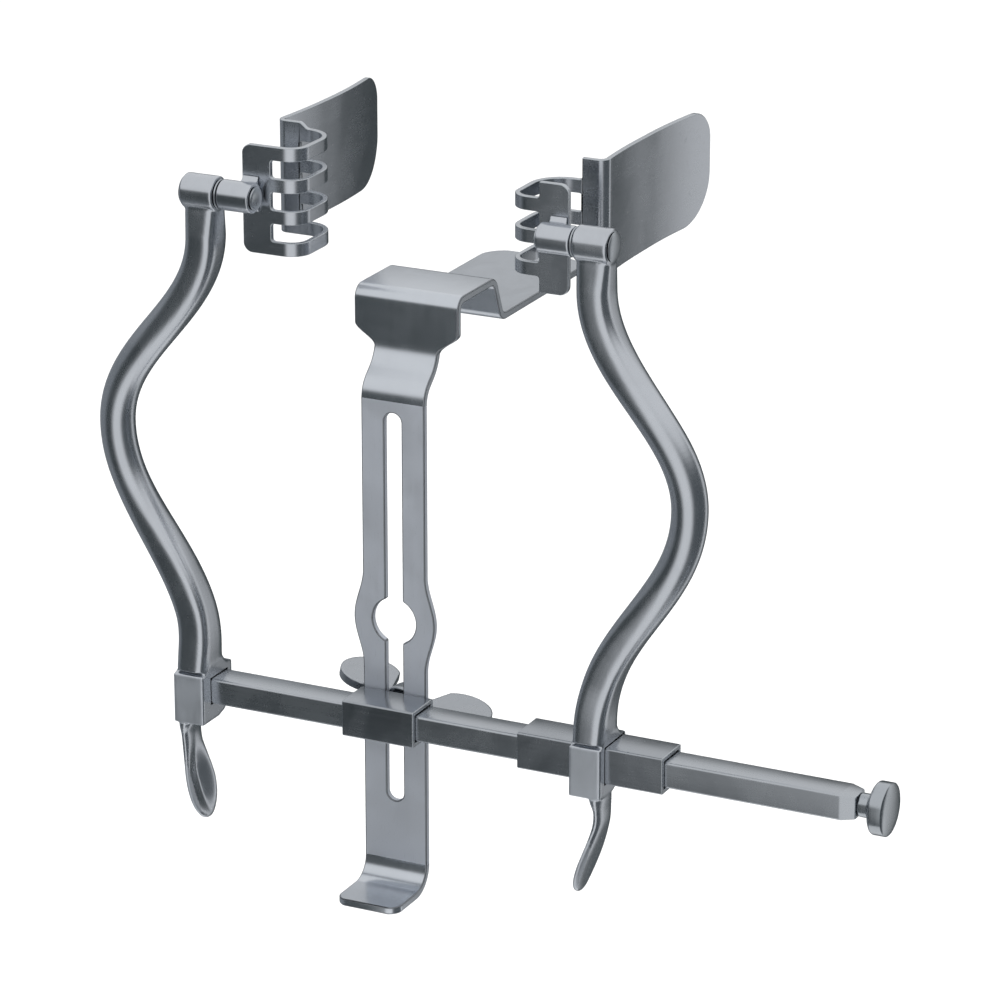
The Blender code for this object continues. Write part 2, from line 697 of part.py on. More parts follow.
def build_centre_blade():
    stations = centre_blade_stations()
    total = stations[-1][2]
    flare_start = JOGGLE_HEIGHT + joggle_run(JOGGLE_BACK, JOGGLE_ANGLE, JOGGLE_RADIUS)

    def edges(point, distance):
        half = STRIP_WIDTH / 2
        if point.x > STRIP_Y + 0.9 * JOGGLE_BACK:
            share = 1.0
            if point.x < STRIP_Y + JOGGLE_BACK + 0.01 * MM:
                share = smooth_step((point.y - flare_start) / PLATE_FLARE)
            half += share * (PLATE_WIDTH - STRIP_WIDTH) / 2
        elif abs(point.y - KEYHOLE_HEIGHT) < BULGE_REACH:
            share = 0.5 + 0.5 * math.cos(math.pi * (point.y - KEYHOLE_HEIGHT) / BULGE_REACH)
            half += share * (BULGE_WIDTH - STRIP_WIDTH) / 2
        half -= corner_inset(distance, HOOK_CORNER)
        half -= corner_inset(total - distance, REACH_CORNER)
        return -half, half

    def to_world(point, width):
        return Vector((STUD_X + width, point.x, point.y))

    bm = ribbon(stations, to_world, edges, SHEET)
    blade = make_object("centre_blade", bm, 0.62, 0.3, origin=(STUD_X, STRIP_Y, 0))
    half = SLOT_WIDTH / 2
    cross = math.degrees(math.asin(half / KEYHOLE_RADIUS))
    key = (STUD_X, KEYHOLE_HEIGHT)
    outline = arc((STUD_X, SLOT_BOTTOM + half), half, WEST, FULL_TURN, 10)
    outline += arc(key, KEYHOLE_RADIUS, SOUTH + cross, FULL_TURN + NORTH - cross, 14)
    outline += arc((STUD_X, SLOT_TOP - half), half, EAST, WEST, 10)
    outline += arc(key, KEYHOLE_RADIUS, NORTH + cross, SOUTH - cross, 14)
    slot = prism(outline, AXIS_Y, STRIP_Y - 2 * SHEET, STRIP_Y + 2 * SHEET)
    combine(blade, make_tool("centre_blade_slot", slot), "DIFFERENCE")
    return blade


def blade_stations(reach):
    """Plan of a lateral blade (inward from the knuckle, back), from its flange edge."""
    half = BLADE_SHEET / 2
    inner_end = LOOP_REACH - half
    side_run = LOOP_DEPTH - BLADE_SHEET - LOOP_FRONT_RADIUS - LOOP_REAR_RADIUS
    leg = inner_end - LOOP_REAR_RADIUS - BEND_RADIUS - FLANGE_OUT - half
    flare_radius = (FLARE_LENGTH**2 + BLADE_FLARE**2) / (2 * BLADE_FLARE)
    flare_turn = 2 * math.atan(BLADE_FLARE / FLARE_LENGTH)
    bend_end = FLANGE_FRONT + LOOP_DEPTH - half + BEND_RADIUS
    straight = reach - FLARE_LENGTH - bend_end
    share = BLADE_LOW_CORNER / FLARE_LENGTH
    moves = [line(FLANGE_CORNER, 5)]
    moves += [line(inner_end - LOOP_FRONT_RADIUS - FLANGE_OUT - FLANGE_CORNER)]
    moves += [bend(LOOP_FRONT_RADIUS, math.pi / 2, 8), line(side_run)]
    moves += [bend(LOOP_REAR_RADIUS, math.pi / 2, 12), line(leg, 8)]
    moves += [bend(BEND_RADIUS, -math.pi / 2), line(straight)]
    moves += [bend(flare_radius, flare_turn * (1 - share), 6)]
    moves += [bend(flare_radius, flare_turn * share, 14)]
    return walk((FLANGE_OUT, FLANGE_FRONT + half), 0.0, moves)


def gap_bands(rungs):
    """Height bands left open between the rungs, measured from the blade's lower edge.

    The rungs of one blade lie opposite the gaps of the other, so their loops can mesh.
    """
    first = (LEFT_RUNGS - rungs) * RUNG_PITCH / 2
    rims = [-MM] if first else []
    for i in range(rungs):
        rims += [first + i * RUNG_PITCH, first + i * RUNG_PITCH + RUNG_HEIGHT]
    above = BLADE_HEIGHT + PLATE_RAISE + MM
    rims = rims + [above] if first else rims[1:-1]
    return list(zip(rims[0::2], rims[1::2]))


def build_lateral_blade(name, block_x, side, reach, rungs):
    """Sheet blade with a hinge flange and an open looped end of separate rungs."""
    stations = blade_stations(reach)
    total = stations[-1][2]
    bottom = ARM_HEIGHT - BLADE_DROP
    top = bottom + BLADE_HEIGHT

    def edges(point, distance):
        low = bottom + corner_inset(distance, FLANGE_CORNER)
        high = top - corner_inset(distance, FLANGE_CORNER)
        low += corner_inset(total - distance, BLADE_LOW_CORNER)
        high -= corner_inset(total - distance, BLADE_TOP_CORNER)
        if point.y > FLANGE_FRONT + LOOP_DEPTH / 2:
            raised = (FLANGE_OUT + REAR_SLOT_END + RAISE_RUN - point.x) / RAISE_RUN
            high += PLATE_RAISE * smooth_step(raised)
            high -= BLADE_SLOPE * smooth_step(point.y / reach)
        return low, high

    hinge_x = block_x - side * KNUCKLE_INSET

    def to_world(point, height):
        return Vector((hinge_x - side * point.x, HINGE_BACK + point.y, height))

    bm = ribbon(stations, to_world, edges, BLADE_SHEET)
    hinge = (hinge_x, HINGE_BACK, ARM_HEIGHT)
    blade = make_object(name, bm, 0.62, 0.3, origin=hinge)
    front = HINGE_BACK + FLANGE_FRONT
    split = front + LOOP_DEPTH / 2
    far = hinge_x - side * (LOOP_REACH + MM)
    for i, (low, high) in enumerate(gap_bands(rungs)):
        for part, start, y0, y1 in (
            ("front", FLANGE_OUT + FLANGE_WIDTH, front - MM, split),
            ("rear", FLANGE_OUT + REAR_SLOT_END, split - MM, front + LOOP_DEPTH + MM),
        ):
            near = hinge_x - side * start
            cutter = box(
                (min(near, far), y0, bottom + low), (max(near, far), y1, bottom + high)
            )
            corners = [
                edge
                for edge in cutter.edges
                if abs(edge.verts[0].co.y - edge.verts[1].co.y) > MM
                and abs(edge.verts[0].co.x - near) < 0.1 * MM
            ]
            bmesh.ops.bevel(
                cutter,
                geom=corners,
                offset=SLOT_END_RADIUS,
                segments=3,
                profile=0.5,
                affect="EDGES",
            )
            combine(blade, make_tool(f"{name}_gap_{i}_{part}", cutter), "DIFFERENCE")
    return blade


def build_hinge(prefix, block_x, side):
    """Barrel brazed to the blade's flange, washer and pin of one lateral blade."""
    hinge = Vector((block_x - side * KNUCKLE_INSET, HINGE_BACK, ARM_HEIGHT))
    inward = -side
    start, end = BARREL_START, BARREL_START + BARREL_LENGTH

    def along(points):
        return [(inward * distance, radius) for distance, radius in points]

    tube = [
        (start, BARREL_RADIUS - BARREL_EDGE),
        (start + BARREL_EDGE, BARREL_RADIUS),
        (end - BARREL_EDGE, BARREL_RADIUS),
        (end, BARREL_RADIUS - BARREL_EDGE),
    ]
    barrel = make_object(
        prefix + "_hinge_barrel", turned(along(tube), AXIS_X, hinge), 0.6, 0.26, origin=hinge
    )
    foot_back = HINGE_BACK + FLANGE_FRONT - SEAT_GAP
    low, high = ARM_HEIGHT - BARREL_FOOT, ARM_HEIGHT + BARREL_FOOT
    outline = [(HINGE_BACK, low)]
    outline += arc((foot_back - BARREL_FILLET, low - BARREL_FILLET), BARREL_FILLET, 90, 0, 4)
    outline += arc((foot_back - BARREL_FILLET, high + BARREL_FILLET), BARREL_FILLET, 0, -90, 4)
    outline += [(HINGE_BACK, high)]
    foot_ends = sorted(
        (hinge.x + inward * (FLANGE_OUT + BARREL_EDGE), hinge.x + inward * (end - MM))
    )
    foot = make_tool(prefix + "_barrel_foot", prism(outline, AXIS_X, *foot_ends))
    combine(barrel, foot, "UNION")
    bore_radius = PIN_RADIUS + PIN_GAP
    bore = turned(along([(start - MM, bore_radius), (end + MM, bore_radius)]), AXIS_X, hinge)
    combine(barrel, make_tool(prefix + "_barrel_bore", bore), "DIFFERENCE")

    washer_start = KNUCKLE_LENGTH / 2 + SEAT_GAP
    disc = [(washer_start, WASHER_RADIUS), (washer_start + WASHER_THICKNESS, WASHER_RADIUS)]
    washer = make_object(
        prefix + "_hinge_washer", turned(along(disc), AXIS_X, hinge), 0.55, 0.35, origin=hinge
    )
    cut = along([(washer_start - MM, bore_radius), (washer_start + 2 * MM, bore_radius)])
    hole = make_tool(prefix + "_washer_hole", turned(cut, AXIS_X, hinge))
    combine(washer, hole, "DIFFERENCE")

    head = -KNUCKLE_LENGTH / 2 - SEAT_GAP
    tail = end + SEAT_GAP
    profile = [
        (head - PIN_HEAD, PIN_HEAD_RADIUS * 0.45),
        (head - 0.75 * PIN_HEAD, PIN_HEAD_RADIUS * 0.78),
        (head - 0.3 * PIN_HEAD, PIN_HEAD_RADIUS),
        (head, PIN_HEAD_RADIUS),
        (head, PIN_RADIUS),
        (tail, PIN_RADIUS),
        (tail, PIN_TAIL_RADIUS),
        (tail + 0.6 * PIN_TAIL, PIN_TAIL_RADIUS),
        (tail + PIN_TAIL, PIN_TAIL_RADIUS * 0.7),
    ]
    pin = make_object(
        prefix + "_hinge_pin", turned(along(profile), AXIS_X, hinge), 0.55, 0.3, origin=hinge
    )
    return barrel, washer, pin


def main():
    clear_objects()
    build_crossbar()
    build_end_knob()
    build_left_arm()
    build_fixing_pin()
    build_right_arm()
    build_sleeve(
        "right_slide_sleeve", RIGHT_BLOCK_X, SLEEVE_LENGTH, SLEEVE_HEIGHT, SLEEVE_DEPTH, SLIDER_EDGE
    )
    build_slider()
    build_stud()
    build_wing_nut()
    build_centre_blade()
    sides = (
        ("left", LEFT_BLOCK_X, -1, LEFT_BLADE_REACH, LEFT_RUNGS),
        ("right", RIGHT_BLOCK_X, 1, RIGHT_BLADE_REACH, LEFT_RUNGS - 1),
    )
    for prefix, block_x, side, reach, rungs in sides:
        build_lateral_blade(prefix + "_lateral_blade", block_x, side, reach, rungs)
        build_hinge(prefix, block_x, side)
    bpy.context.view_layer.update()


main()
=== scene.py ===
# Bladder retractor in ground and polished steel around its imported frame
from math import asin, atan, atan2, copysign, cos, degrees, pi, radians, sin, sqrt, tan

import bmesh
import bpy
from mathutils import Matrix, Vector
from mathutils.geometry import interpolate_bezier


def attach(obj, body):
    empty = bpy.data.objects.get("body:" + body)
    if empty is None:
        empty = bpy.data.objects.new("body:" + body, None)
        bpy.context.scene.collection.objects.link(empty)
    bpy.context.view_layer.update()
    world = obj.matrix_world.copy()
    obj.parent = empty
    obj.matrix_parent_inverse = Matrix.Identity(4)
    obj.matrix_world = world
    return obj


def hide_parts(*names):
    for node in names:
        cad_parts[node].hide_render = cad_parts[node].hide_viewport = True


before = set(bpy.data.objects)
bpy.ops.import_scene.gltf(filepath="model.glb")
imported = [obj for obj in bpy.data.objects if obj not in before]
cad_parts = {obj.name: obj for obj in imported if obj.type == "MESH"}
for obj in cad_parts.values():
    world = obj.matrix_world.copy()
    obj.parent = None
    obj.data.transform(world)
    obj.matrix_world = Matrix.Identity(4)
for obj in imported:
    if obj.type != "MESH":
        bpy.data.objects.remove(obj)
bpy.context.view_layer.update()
mm = 0.001
ops = bmesh.ops
axisX, axisY, axisZ = Vector((1, 0, 0)), Vector((0, 1, 0)), Vector((0, 0, 1))
print("frame loaded:", len(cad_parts), "nodes")


# Shader nodes: kinds without their prefix, inputs by name or by a number after an underscore

def addNode(tree, kind, settings=None, **inputs):
    node = tree.nodes.new("ShaderNode" + kind)
    for name, value in (settings or {}).items():
        setattr(node, name, value)
    for name, value in inputs.items():
        socket = node.inputs[int(name[1:])] if name[1:].isdigit() else node.inputs[name.replace("_", " ")]
        if isinstance(value, bpy.types.NodeSocket):
            tree.links.new(value, socket)
        else:
            socket.default_value = value
    return node


def addMath(tree, operation, *values, **settings):
    inputs = {f"_{i}": value for i, value in enumerate(values)}
    return addNode(tree, "Math", {"operation": operation, **settings}, **inputs).outputs[0]


def addRange(tree, value, low, high, kind="SMOOTHSTEP", **ends):
    return addNode(tree, "MapRange", {"interpolation_type": kind}, Value=value,
                   From_Min=low, From_Max=high, **ends).outputs[0]


def addNoise(tree, place, **inputs):
    return addNode(tree, "TexNoise", Vector=place, **inputs).outputs["Fac"]


def mixNumbers(tree, share, first, second):
    return addNode(tree, "Mix", {"data_type": "FLOAT"}, Factor=share, _2=first, _3=second).outputs[0]


def mixColours(tree, share, first, second):
    return addNode(tree, "Mix", {"data_type": "RGBA"}, Factor=share, _6=first, _7=second).outputs[2]


def newMaterial(name):
    material = bpy.data.materials.new(name)
    material.use_nodes = True
    return material, material.node_tree


# Node groups that the steels share

def openGroup(name, wanted):
    group = bpy.data.node_groups.new(name, "ShaderNodeTree")
    for label in wanted:
        kind = "NodeSocketVector" if label == "Vector" else "NodeSocketFloat"
        group.interface.new_socket(name=label, in_out="INPUT", socket_type=kind)
    return group, group.nodes.new("NodeGroupInput")


def closeGroup(group, **results):
    for label in results:
        group.interface.new_socket(name=label, in_out="OUTPUT", socket_type="NodeSocketFloat")
    out = group.nodes.new("NodeGroupOutput")
    for label, socket in results.items():
        group.links.new(socket, out.inputs[label])
    return group


def makeGrainGroup():
    group, given = openGroup("brushedGrain", ("Vector", "Fineness", "Streaks"))
    place = given.outputs["Vector"]
    fine = addNoise(group, place, Scale=given.outputs["Fineness"], Detail=6.0, Roughness=0.62)
    coarse = addNoise(group, place, Scale=0.55, Detail=3.0)
    thin = addNoise(group, place, Scale=5.5, Detail=2.0)
    return closeGroup(group, Grain=mixNumbers(group, given.outputs["Streaks"], fine, coarse),
                      Hairlines=addRange(group, thin, 0.62, 0.74))


def makeHandlingGroup():
    group, given = openGroup("handlingWear", ("Vector", "Size", "Speckle"))
    place = given.outputs["Vector"]
    wide = addNoise(group, place, Scale=given.outputs["Size"], Detail=4.0, Roughness=0.55, Distortion=0.6)
    dots = addNode(group, "TexVoronoi", Vector=place, Scale=given.outputs["Speckle"])
    scratches = 0.0
    for turn, seed in ((0.5, 3.0), (2.1, 11.0)):
        slanted = addNode(group, "Mapping", Vector=place, Location=(seed, seed, 0),
                          Rotation=(turn, turn * 0.7, turn * 1.3), Scale=(1.6, 0.05, 0.12))
        lines = addNoise(group, slanted.outputs["Vector"], Scale=2.2, Detail=1.0)
        scratches = addMath(group, "MAXIMUM", scratches, addRange(group, lines, 0.70, 0.78))
    return closeGroup(group, Clouds=addRange(group, wide, 0.32, 0.68),
                      Specks=addRange(group, dots.outputs["Distance"], 0.14, 0.05), Scratches=scratches)


grainGroup = makeGrainGroup()
handlingGroup = makeHandlingGroup()
baseLook = {
    "tone": (0.480, 0.505, 0.543), "toneSwing": 0.08, "roughness": 0.25, "roughSwing": 0.05, "smudge": 0.07,
    "grain": (1.0, 1.0, 1.0), "fineness": 2.5, "streaks": 0.35, "cloudSize": 0.07, "cloudShare": 0.45,
    "speckle": 0.55, "marks": 0.10, "markTone": 0.45, "markRoughness": 0.35, "markDepth": 2.3,
    "hairlineDepth": 0.4, "bump": 0.04, "bumpHeight": 0.04 * mm,
}
sheen = {"fineness": 0.8, "bump": 0.02, "roughSwing": 0.015}


def makeSteel(name, **changes):
    look = {**baseLook, **changes}
    material, tree = newMaterial(name)
    place = addNode(tree, "TexCoord").outputs["Object"]
    across = addNode(tree, "Mapping", Vector=place, Scale=tuple(s / mm for s in look["grain"]))
    whole = addNode(tree, "Mapping", Vector=place, Scale=(1 / mm, 1 / mm, 1 / mm))
    grain = addNode(tree, "Group", {"node_tree": grainGroup}, Vector=across.outputs["Vector"],
                    Fineness=look["fineness"], Streaks=look["streaks"])
    wear = addNode(tree, "Group", {"node_tree": handlingGroup}, Vector=whole.outputs["Vector"],
                   Size=look["cloudSize"], Speckle=look["speckle"])
    grainHeight, clouds = grain.outputs["Grain"], wear.outputs["Clouds"]
    marks = addMath(tree, "MAXIMUM", wear.outputs["Specks"], wear.outputs["Scratches"])
    low, high, stain = [tuple(Vector(look["tone"]) * share) + (1.0,) for share in
                        (1 - look["toneSwing"], 1 + look["toneSwing"], look["markTone"])]
    colour = mixColours(tree, mixNumbers(tree, look["cloudShare"], grainHeight, clouds), low, high)
    stained = mixColours(tree, addMath(tree, "MULTIPLY", marks, look["marks"]), colour, stain)
    rough = addRange(tree, grainHeight, 0.3, 0.7, "LINEAR", To_Min=look["roughness"] - look["roughSwing"],
                     To_Max=look["roughness"] + look["roughSwing"])
    smudged = addMath(tree, "MULTIPLY_ADD", clouds, look["smudge"], rough)
    scuffed = addMath(tree, "MULTIPLY_ADD", marks, look["markRoughness"] * look["marks"], smudged,
                      use_clamp=True)
    ground = addMath(tree, "MULTIPLY_ADD", grain.outputs["Hairlines"], -look["hairlineDepth"], grainHeight)
    cut = addMath(tree, "MULTIPLY_ADD", marks, -look["markDepth"] * look["marks"], ground)
    bump = addNode(tree, "Bump", Strength=look["bump"], Distance=look["bumpHeight"], Height=cut)
    shader = tree.nodes["Principled BSDF"]
    shader.inputs["Metallic"].default_value = 1.0
    tree.links.new(stained, shader.inputs["Base Color"])
    tree.links.new(scuffed, shader.inputs["Roughness"])
    tree.links.new(bump.outputs["Normal"], shader.inputs["Normal"])
    return material


steels = {
    "bar": makeSteel("drawnBarSteel", tone=(0.411, 0.435, 0.466), grain=(0.03, 1.2, 1.2), roughness=0.22,
                     roughSwing=0.03),
    "sleeve": makeSteel("drawnTubeSteel", tone=(0.343, 0.365, 0.394), grain=(0.04, 1.3, 1.3), roughness=0.20,
                        roughSwing=0.03),
    "arm": makeSteel("forgedArmSteel", grain=(0.7, 0.7, 0.10), roughness=0.24, smudge=0.04, marks=0.06,
                     **sheen),
    "strip": makeSteel("satinStripSteel", tone=(0.676, 0.710, 0.768), grain=(1.4, 0.08, 0.08), bump=0.06,
                       roughness=0.56, fineness=1.2, toneSwing=0.05),
    "plate": makeSteel("polishedPlateSteel", tone=(0.539, 0.570, 0.614), grain=(0.9, 0.06, 0.06),
                       toneSwing=0.05, roughness=0.22, smudge=0.03, marks=0.05, **sheen),
    "blade": makeSteel("satinBladeSteel", grain=(0.08, 0.06, 0.9), roughness=0.23, bump=0.03, roughSwing=0.02,
                       smudge=0.04, marks=0.08),
    "rim": makeSteel("polishedRimSteel", tone=(0.431, 0.460, 0.491), roughness=0.24, bump=0.03),
    "knob": makeSteel("turnedKnobSteel", tone=(0.392, 0.420, 0.450), grain=(1.6, 0.12, 0.12), roughness=0.20,
                      bump=0.05, fineness=1.4, marks=0.15),
    "pin": makeSteel("turnedPinSteel", tone=(0.431, 0.460, 0.491), grain=(1.5, 0.2, 0.2), roughness=0.28,
                     bump=0.06),
    "barrel": makeSteel("turnedBarrelSteel", grain=(1.0, 0.10, 0.10), roughness=0.20, smudge=0.03,
                        marks=0.06, **sheen),
    "nut": makeSteel("castNutSteel", tone=(0.373, 0.395, 0.425), roughness=0.24, grain=(0.6, 0.6, 0.6),
                     bump=0.08, fineness=1.2),
    "block": makeSteel("groundBlockSteel", tone=(0.548, 0.580, 0.624), grain=(1.4, 0.2, 0.2), roughness=0.50,
                       fineness=1.2, bump=0.05),
    # Painted shade: a dark tone for the centre blade's rounded rims, standing in for the dark reflections
    # along its edges
    "edge": makeSteel("paintedEdgeShadeSteel", tone=(0.245, 0.260, 0.282), roughness=0.36, bump=0.03),
    "thread": makeSteel("cutThreadSteel", tone=(0.392, 0.420, 0.450), roughness=0.34),
}
print("steels made:", len(steels))


# Tools for the pieces

def makePiece(name, bm, sharp=35):
    ops.remove_doubles(bm, verts=bm.verts, dist=1e-7)
    ops.recalc_face_normals(bm, faces=bm.faces)
    mesh = bpy.data.meshes.new(name)
    bm.to_mesh(mesh)
    bm.free()
    mesh.shade_smooth()
    if sharp:
        mesh.set_sharp_from_angle(angle=radians(sharp))
    piece = bpy.data.objects.new(name, mesh)
    bpy.context.collection.objects.link(piece)
    return piece


def addStep(piece, kind, **settings):
    step = piece.modifiers.new(kind.title(), kind)
    for name, value in settings.items():
        setattr(step, name, value)


# Keeps what the modifiers have made
def settle(piece):
    bpy.context.view_layer.update()
    shaped = piece.evaluated_get(bpy.context.evaluated_depsgraph_get())
    mesh = bpy.data.meshes.new_from_object(shaped)
    old = piece.data
    piece.modifiers.clear()
    piece.data = mesh
    mesh.name = piece.name
    bpy.data.meshes.remove(old)


# Turns shapes that run into each other into one smooth surface
def forge(piece, voxel, smoothing):
    addStep(piece, "REMESH", mode="VOXEL", voxel_size=voxel)
    addStep(piece, "SMOOTH", factor=0.5, iterations=smoothing)
    settle(piece)


def cutAway(piece, cutters, sharp):
    for cutter in cutters:
        addStep(piece, "BOOLEAN", operation="DIFFERENCE", solver="EXACT", object=cutter)
    settle(piece)
    for cutter in cutters:
        mesh = cutter.data
        bpy.data.objects.remove(cutter)
        bpy.data.meshes.remove(mesh)
    piece.data.set_sharp_from_angle(angle=radians(sharp))


# With polished set, the bevelled rims take the piece's second material: polished rim steel, or on the centre
# blade the painted edge shade
def roundRims(piece, width, polished=True, clamped=True):
    addStep(piece, "BEVEL", width=width, segments=3, limit_method="ANGLE", offset_type="OFFSET",
            angle_limit=radians(40), harden_normals=True, use_clamp_overlap=clamped,
            miter_outer="MITER_ARC", material=1 if polished else -1)


def dress(piece, body, node, slotName, *materials):
    for material in materials:
        piece.data.materials.append(material)
    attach(piece, body)
    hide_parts(node)


def newVerts(made):
    return [item for item in made if isinstance(item, bmesh.types.BMVert)]


def edgesAlong(bm, axis):
    return [edge for edge in bm.edges if abs((edge.verts[1].co - edge.verts[0].co).dot(axis)) > mm]


def bevelEdges(bm, edges, size, segments):
    ops.bevel(bm, geom=edges, offset=size, segments=segments, profile=0.5, affect="EDGES",
              material=-1, clamp_overlap=True)


def blockBetween(bm, low, high):
    low, high = Vector(low), Vector(high)
    made = ops.create_cube(bm, size=1)["verts"]
    ops.scale(bm, verts=made, vec=high - low)
    ops.translate(bm, verts=made, vec=(low + high) / 2)


def pushOutline(bm, points, reach):
    face = bm.faces.new([bm.verts.new(point) for point in points])
    made = ops.extrude_face_region(bm, geom=[face])["geom"]
    ops.translate(bm, verts=newVerts(made), vec=reach)


# Spins (along, radius) points round an axis and closes both ends
def turnProfile(bm, profile, axis, centre, steps=64):
    side = axisZ if abs(axis.x) > 0.5 else axisX
    row = [bm.verts.new(Vector(centre) + axis * along + side * radius) for along, radius in profile]
    edges = [bm.edges.new(pair) for pair in zip(row, row[1:])]
    ops.spin(bm, geom=row + edges, cent=centre, axis=axis, angle=2 * pi, steps=steps, use_merge=True)
    ops.holes_fill(bm, edges=[edge for edge in bm.edges if edge.is_boundary], sides=0)


def roundedCorners(points, size, steps=4):
    result = [points[0]]
    for before, corner, after in zip(points, points[1:], points[2:]):
        a, b, c = Vector(before), Vector(corner), Vector(after)
        reach = min(size, (a - b).length * 0.48, (c - b).length * 0.48)
        start, end = b + (a - b).normalized() * reach, b + (c - b).normalized() * reach
        for i in range(steps + 1):
            t = i / steps
            result.append(tuple(start * (1 - t) ** 2 + b * 2 * t * (1 - t) + end * t * t))
    result.append(points[-1])
    return result


def turnRod(bm, start, end, radius, core, edge, axis, centre):
    profile = [(start, core), (start, radius), (end, radius), (end, core)]
    turnProfile(bm, roundedCorners(profile, edge), axis, centre)


def boreCutter(name, start, end, radius, axis, centre):
    bm = bmesh.new()
    turnProfile(bm, [(start, radius), (end, radius)], axis, centre, 48)
    return makePiece(name, bm)


def arcPoints(centre, radius, start, end, steps):
    angles = [radians(start + (end - start) * i / steps) for i in range(steps + 1)]
    return [(centre[0] + radius * cos(a), centre[1] + radius * sin(a)) for a in angles]


# (along, radius) points of a shallow dome
def domePoints(base, bulge, radius, start, end, steps):
    angles = [radians(start + (end - start) * i / steps) for i in range(steps + 1)]
    return [(base + bulge * sin(a), radius * cos(a)) for a in angles]


def smoothStep(value):
    value = min(max(value, 0.0), 1.0)
    return value * value * (3 - 2 * value)


# A smooth reading of a table whose first column is the share of the length
def sampleRows(rows, share):
    i = next((i for i in range(len(rows) - 2) if share <= rows[i + 1][0]), len(rows) - 2)
    p1, p2 = rows[i], rows[i + 1]
    p0, p3 = rows[max(i - 1, 0)], rows[min(i + 2, len(rows) - 1)]
    span = p2[0] - p1[0]
    t = (share - p1[0]) / span
    values = []
    for k in range(1, len(p1)):
        m1 = (p2[k] - p0[k]) / (p2[0] - p0[0]) * span
        m2 = (p3[k] - p1[k]) / (p3[0] - p1[0]) * span
        values.append((2 * t**3 - 3 * t**2 + 1) * p1[k] + (t**3 - 2 * t**2 + t) * m1
                      + (3 * t**2 - 2 * t**3) * p2[k] + (t**3 - t**2) * m2)
    return values


# Turns a ring's angle into a place on an oval, which a dish can hollow on one side
def ovalSection(blockX, side, centre, slope, halfAcross, halfDepth, squareness, dish=0.0):
    def place(angle):
        c, s = cos(angle), sin(angle)
        across = halfAcross * copysign(abs(c) ** (2 / squareness), c)
        depth = halfDepth * copysign(abs(s) ** (2 / squareness), s)
        if across < 0:
            across += dish * (1 - abs(s)) * 2
        return Vector((blockX + side * (centre[0] + across * cos(slope)), centre[1] + depth,
                       centre[2] - across * sin(slope)))
    return place


# Extrudes a ring through the sections
def sweepSections(bm, sections):
    ring = ops.create_circle(bm, cap_ends=False, radius=1.0, segments=48)["verts"]
    angles = {vert: atan2(vert.co.y, vert.co.x) for vert in ring}
    edges = [edge for edge in bm.edges if all(vert in angles for vert in edge.verts)]
    for vert, angle in angles.items():
        vert.co = sections[0](angle)
    for section in sections[1:]:
        made = ops.extrude_edge_only(bm, edges=edges)["geom"]
        fresh = newVerts(made)
        edges = [item for item in made if isinstance(item, bmesh.types.BMEdge)
                 and all(vert in fresh for vert in item.verts)]
        angles = {vert: angles[old] for vert in fresh for edge in vert.link_edges
                  for old in edge.verts if old in angles}
        for vert, angle in angles.items():
            vert.co = section(angle)
    ops.holes_fill(bm, edges=[edge for edge in bm.edges if edge.is_boundary], sides=0)


# Bends a sheet from its first edge: gives each row's ends and its distance along the sheet
def bentSheet(bm, start, moves, across, half):
    def ahead(angle):
        if across == axisX:
            return Vector((0, cos(angle), sin(angle)))
        return Vector((cos(angle), sin(angle), 0))

    ends = [bm.verts.new(Vector(start) + across * side * half) for side in (-1, 1)]
    edge = bm.edges.new(ends)
    rows, distance, heading = [(ends, 0.0)], 0.0, 0.0
    for move in moves:
        steps = move[-1]
        for _ in range(steps):
            if move[0] == "line":
                made = ops.extrude_edge_only(bm, edges=[edge])["geom"]
                ops.translate(bm, verts=newVerts(made), vec=ahead(heading) * move[1] / steps)
                distance += move[1] / steps
            else:
                turn = move[2] / steps
                middle = sum((vert.co for vert in edge.verts), Vector()) / 2
                centre = middle + ahead(heading + pi / 2) * copysign(move[1], turn)
                made = ops.spin(bm, geom=list(edge.verts) + [edge], cent=centre, axis=across,
                                angle=turn, steps=1)["geom_last"]
                heading += turn
                distance += move[1] * abs(turn)
            edge = bm.edges.get(newVerts(made))
            rows.append((sorted(edge.verts, key=lambda vert: vert.co.dot(across)), distance))
    return rows


def cornerInset(distance, radius):
    rest = min(max(radius - distance, 0.0), radius)
    return radius - sqrt(radius**2 - rest**2)


# Moves of an S-bend, and how far it reaches
def doubleBend(offset, angle, first, second):
    slope = (offset - (first + second) * (1 - cos(angle))) / sin(angle)
    run = (first + second) * sin(angle) + slope * cos(angle)
    return [("bend", first, -angle, 14), ("line", slope, 1), ("bend", second, angle, 14)], run


# Crossbar, sleeve and slider: drawn sections with rounded long edges

bar = {
    "length": 212 * mm, "depth": 10 * mm, "height": 8 * mm, "edge": 0.9 * mm, "rim": 0.35 * mm,
    "noseCut": 0.6 * mm, "noseLength": 4 * mm, "noseSize": 7 * mm,
}


def makeCrossbar():
    bm = bmesh.new()
    halfDepth, halfHeight = bar["depth"] / 2, bar["height"] / 2
    blockBetween(bm, (0, -halfDepth, -halfHeight), (bar["length"], halfDepth, halfHeight))
    bevelEdges(bm, edgesAlong(bm, axisX), bar["edge"], 4)
    ops.bisect_plane(bm, geom=bm.verts[:] + bm.edges[:] + bm.faces[:],
                     plane_co=(bar["length"] - bar["noseCut"], 0, 0), plane_no=axisX)
    endFace = max(bm.faces, key=lambda face: face.calc_center_median().x)
    nose = ops.extrude_discrete_faces(bm, faces=[endFace])["faces"][0]
    shrink = (1, bar["noseSize"] / bar["depth"], bar["noseSize"] / bar["height"])
    ops.translate(bm, verts=nose.verts, vec=(bar["noseLength"], 0, 0))
    ops.scale(bm, verts=nose.verts, vec=shrink)
    piece = makePiece("crossbarSteel", bm)
    roundRims(piece, bar["rim"])
    dress(piece, "frame", "crossbar", "bar_steel", steels["bar"], steels["rim"])


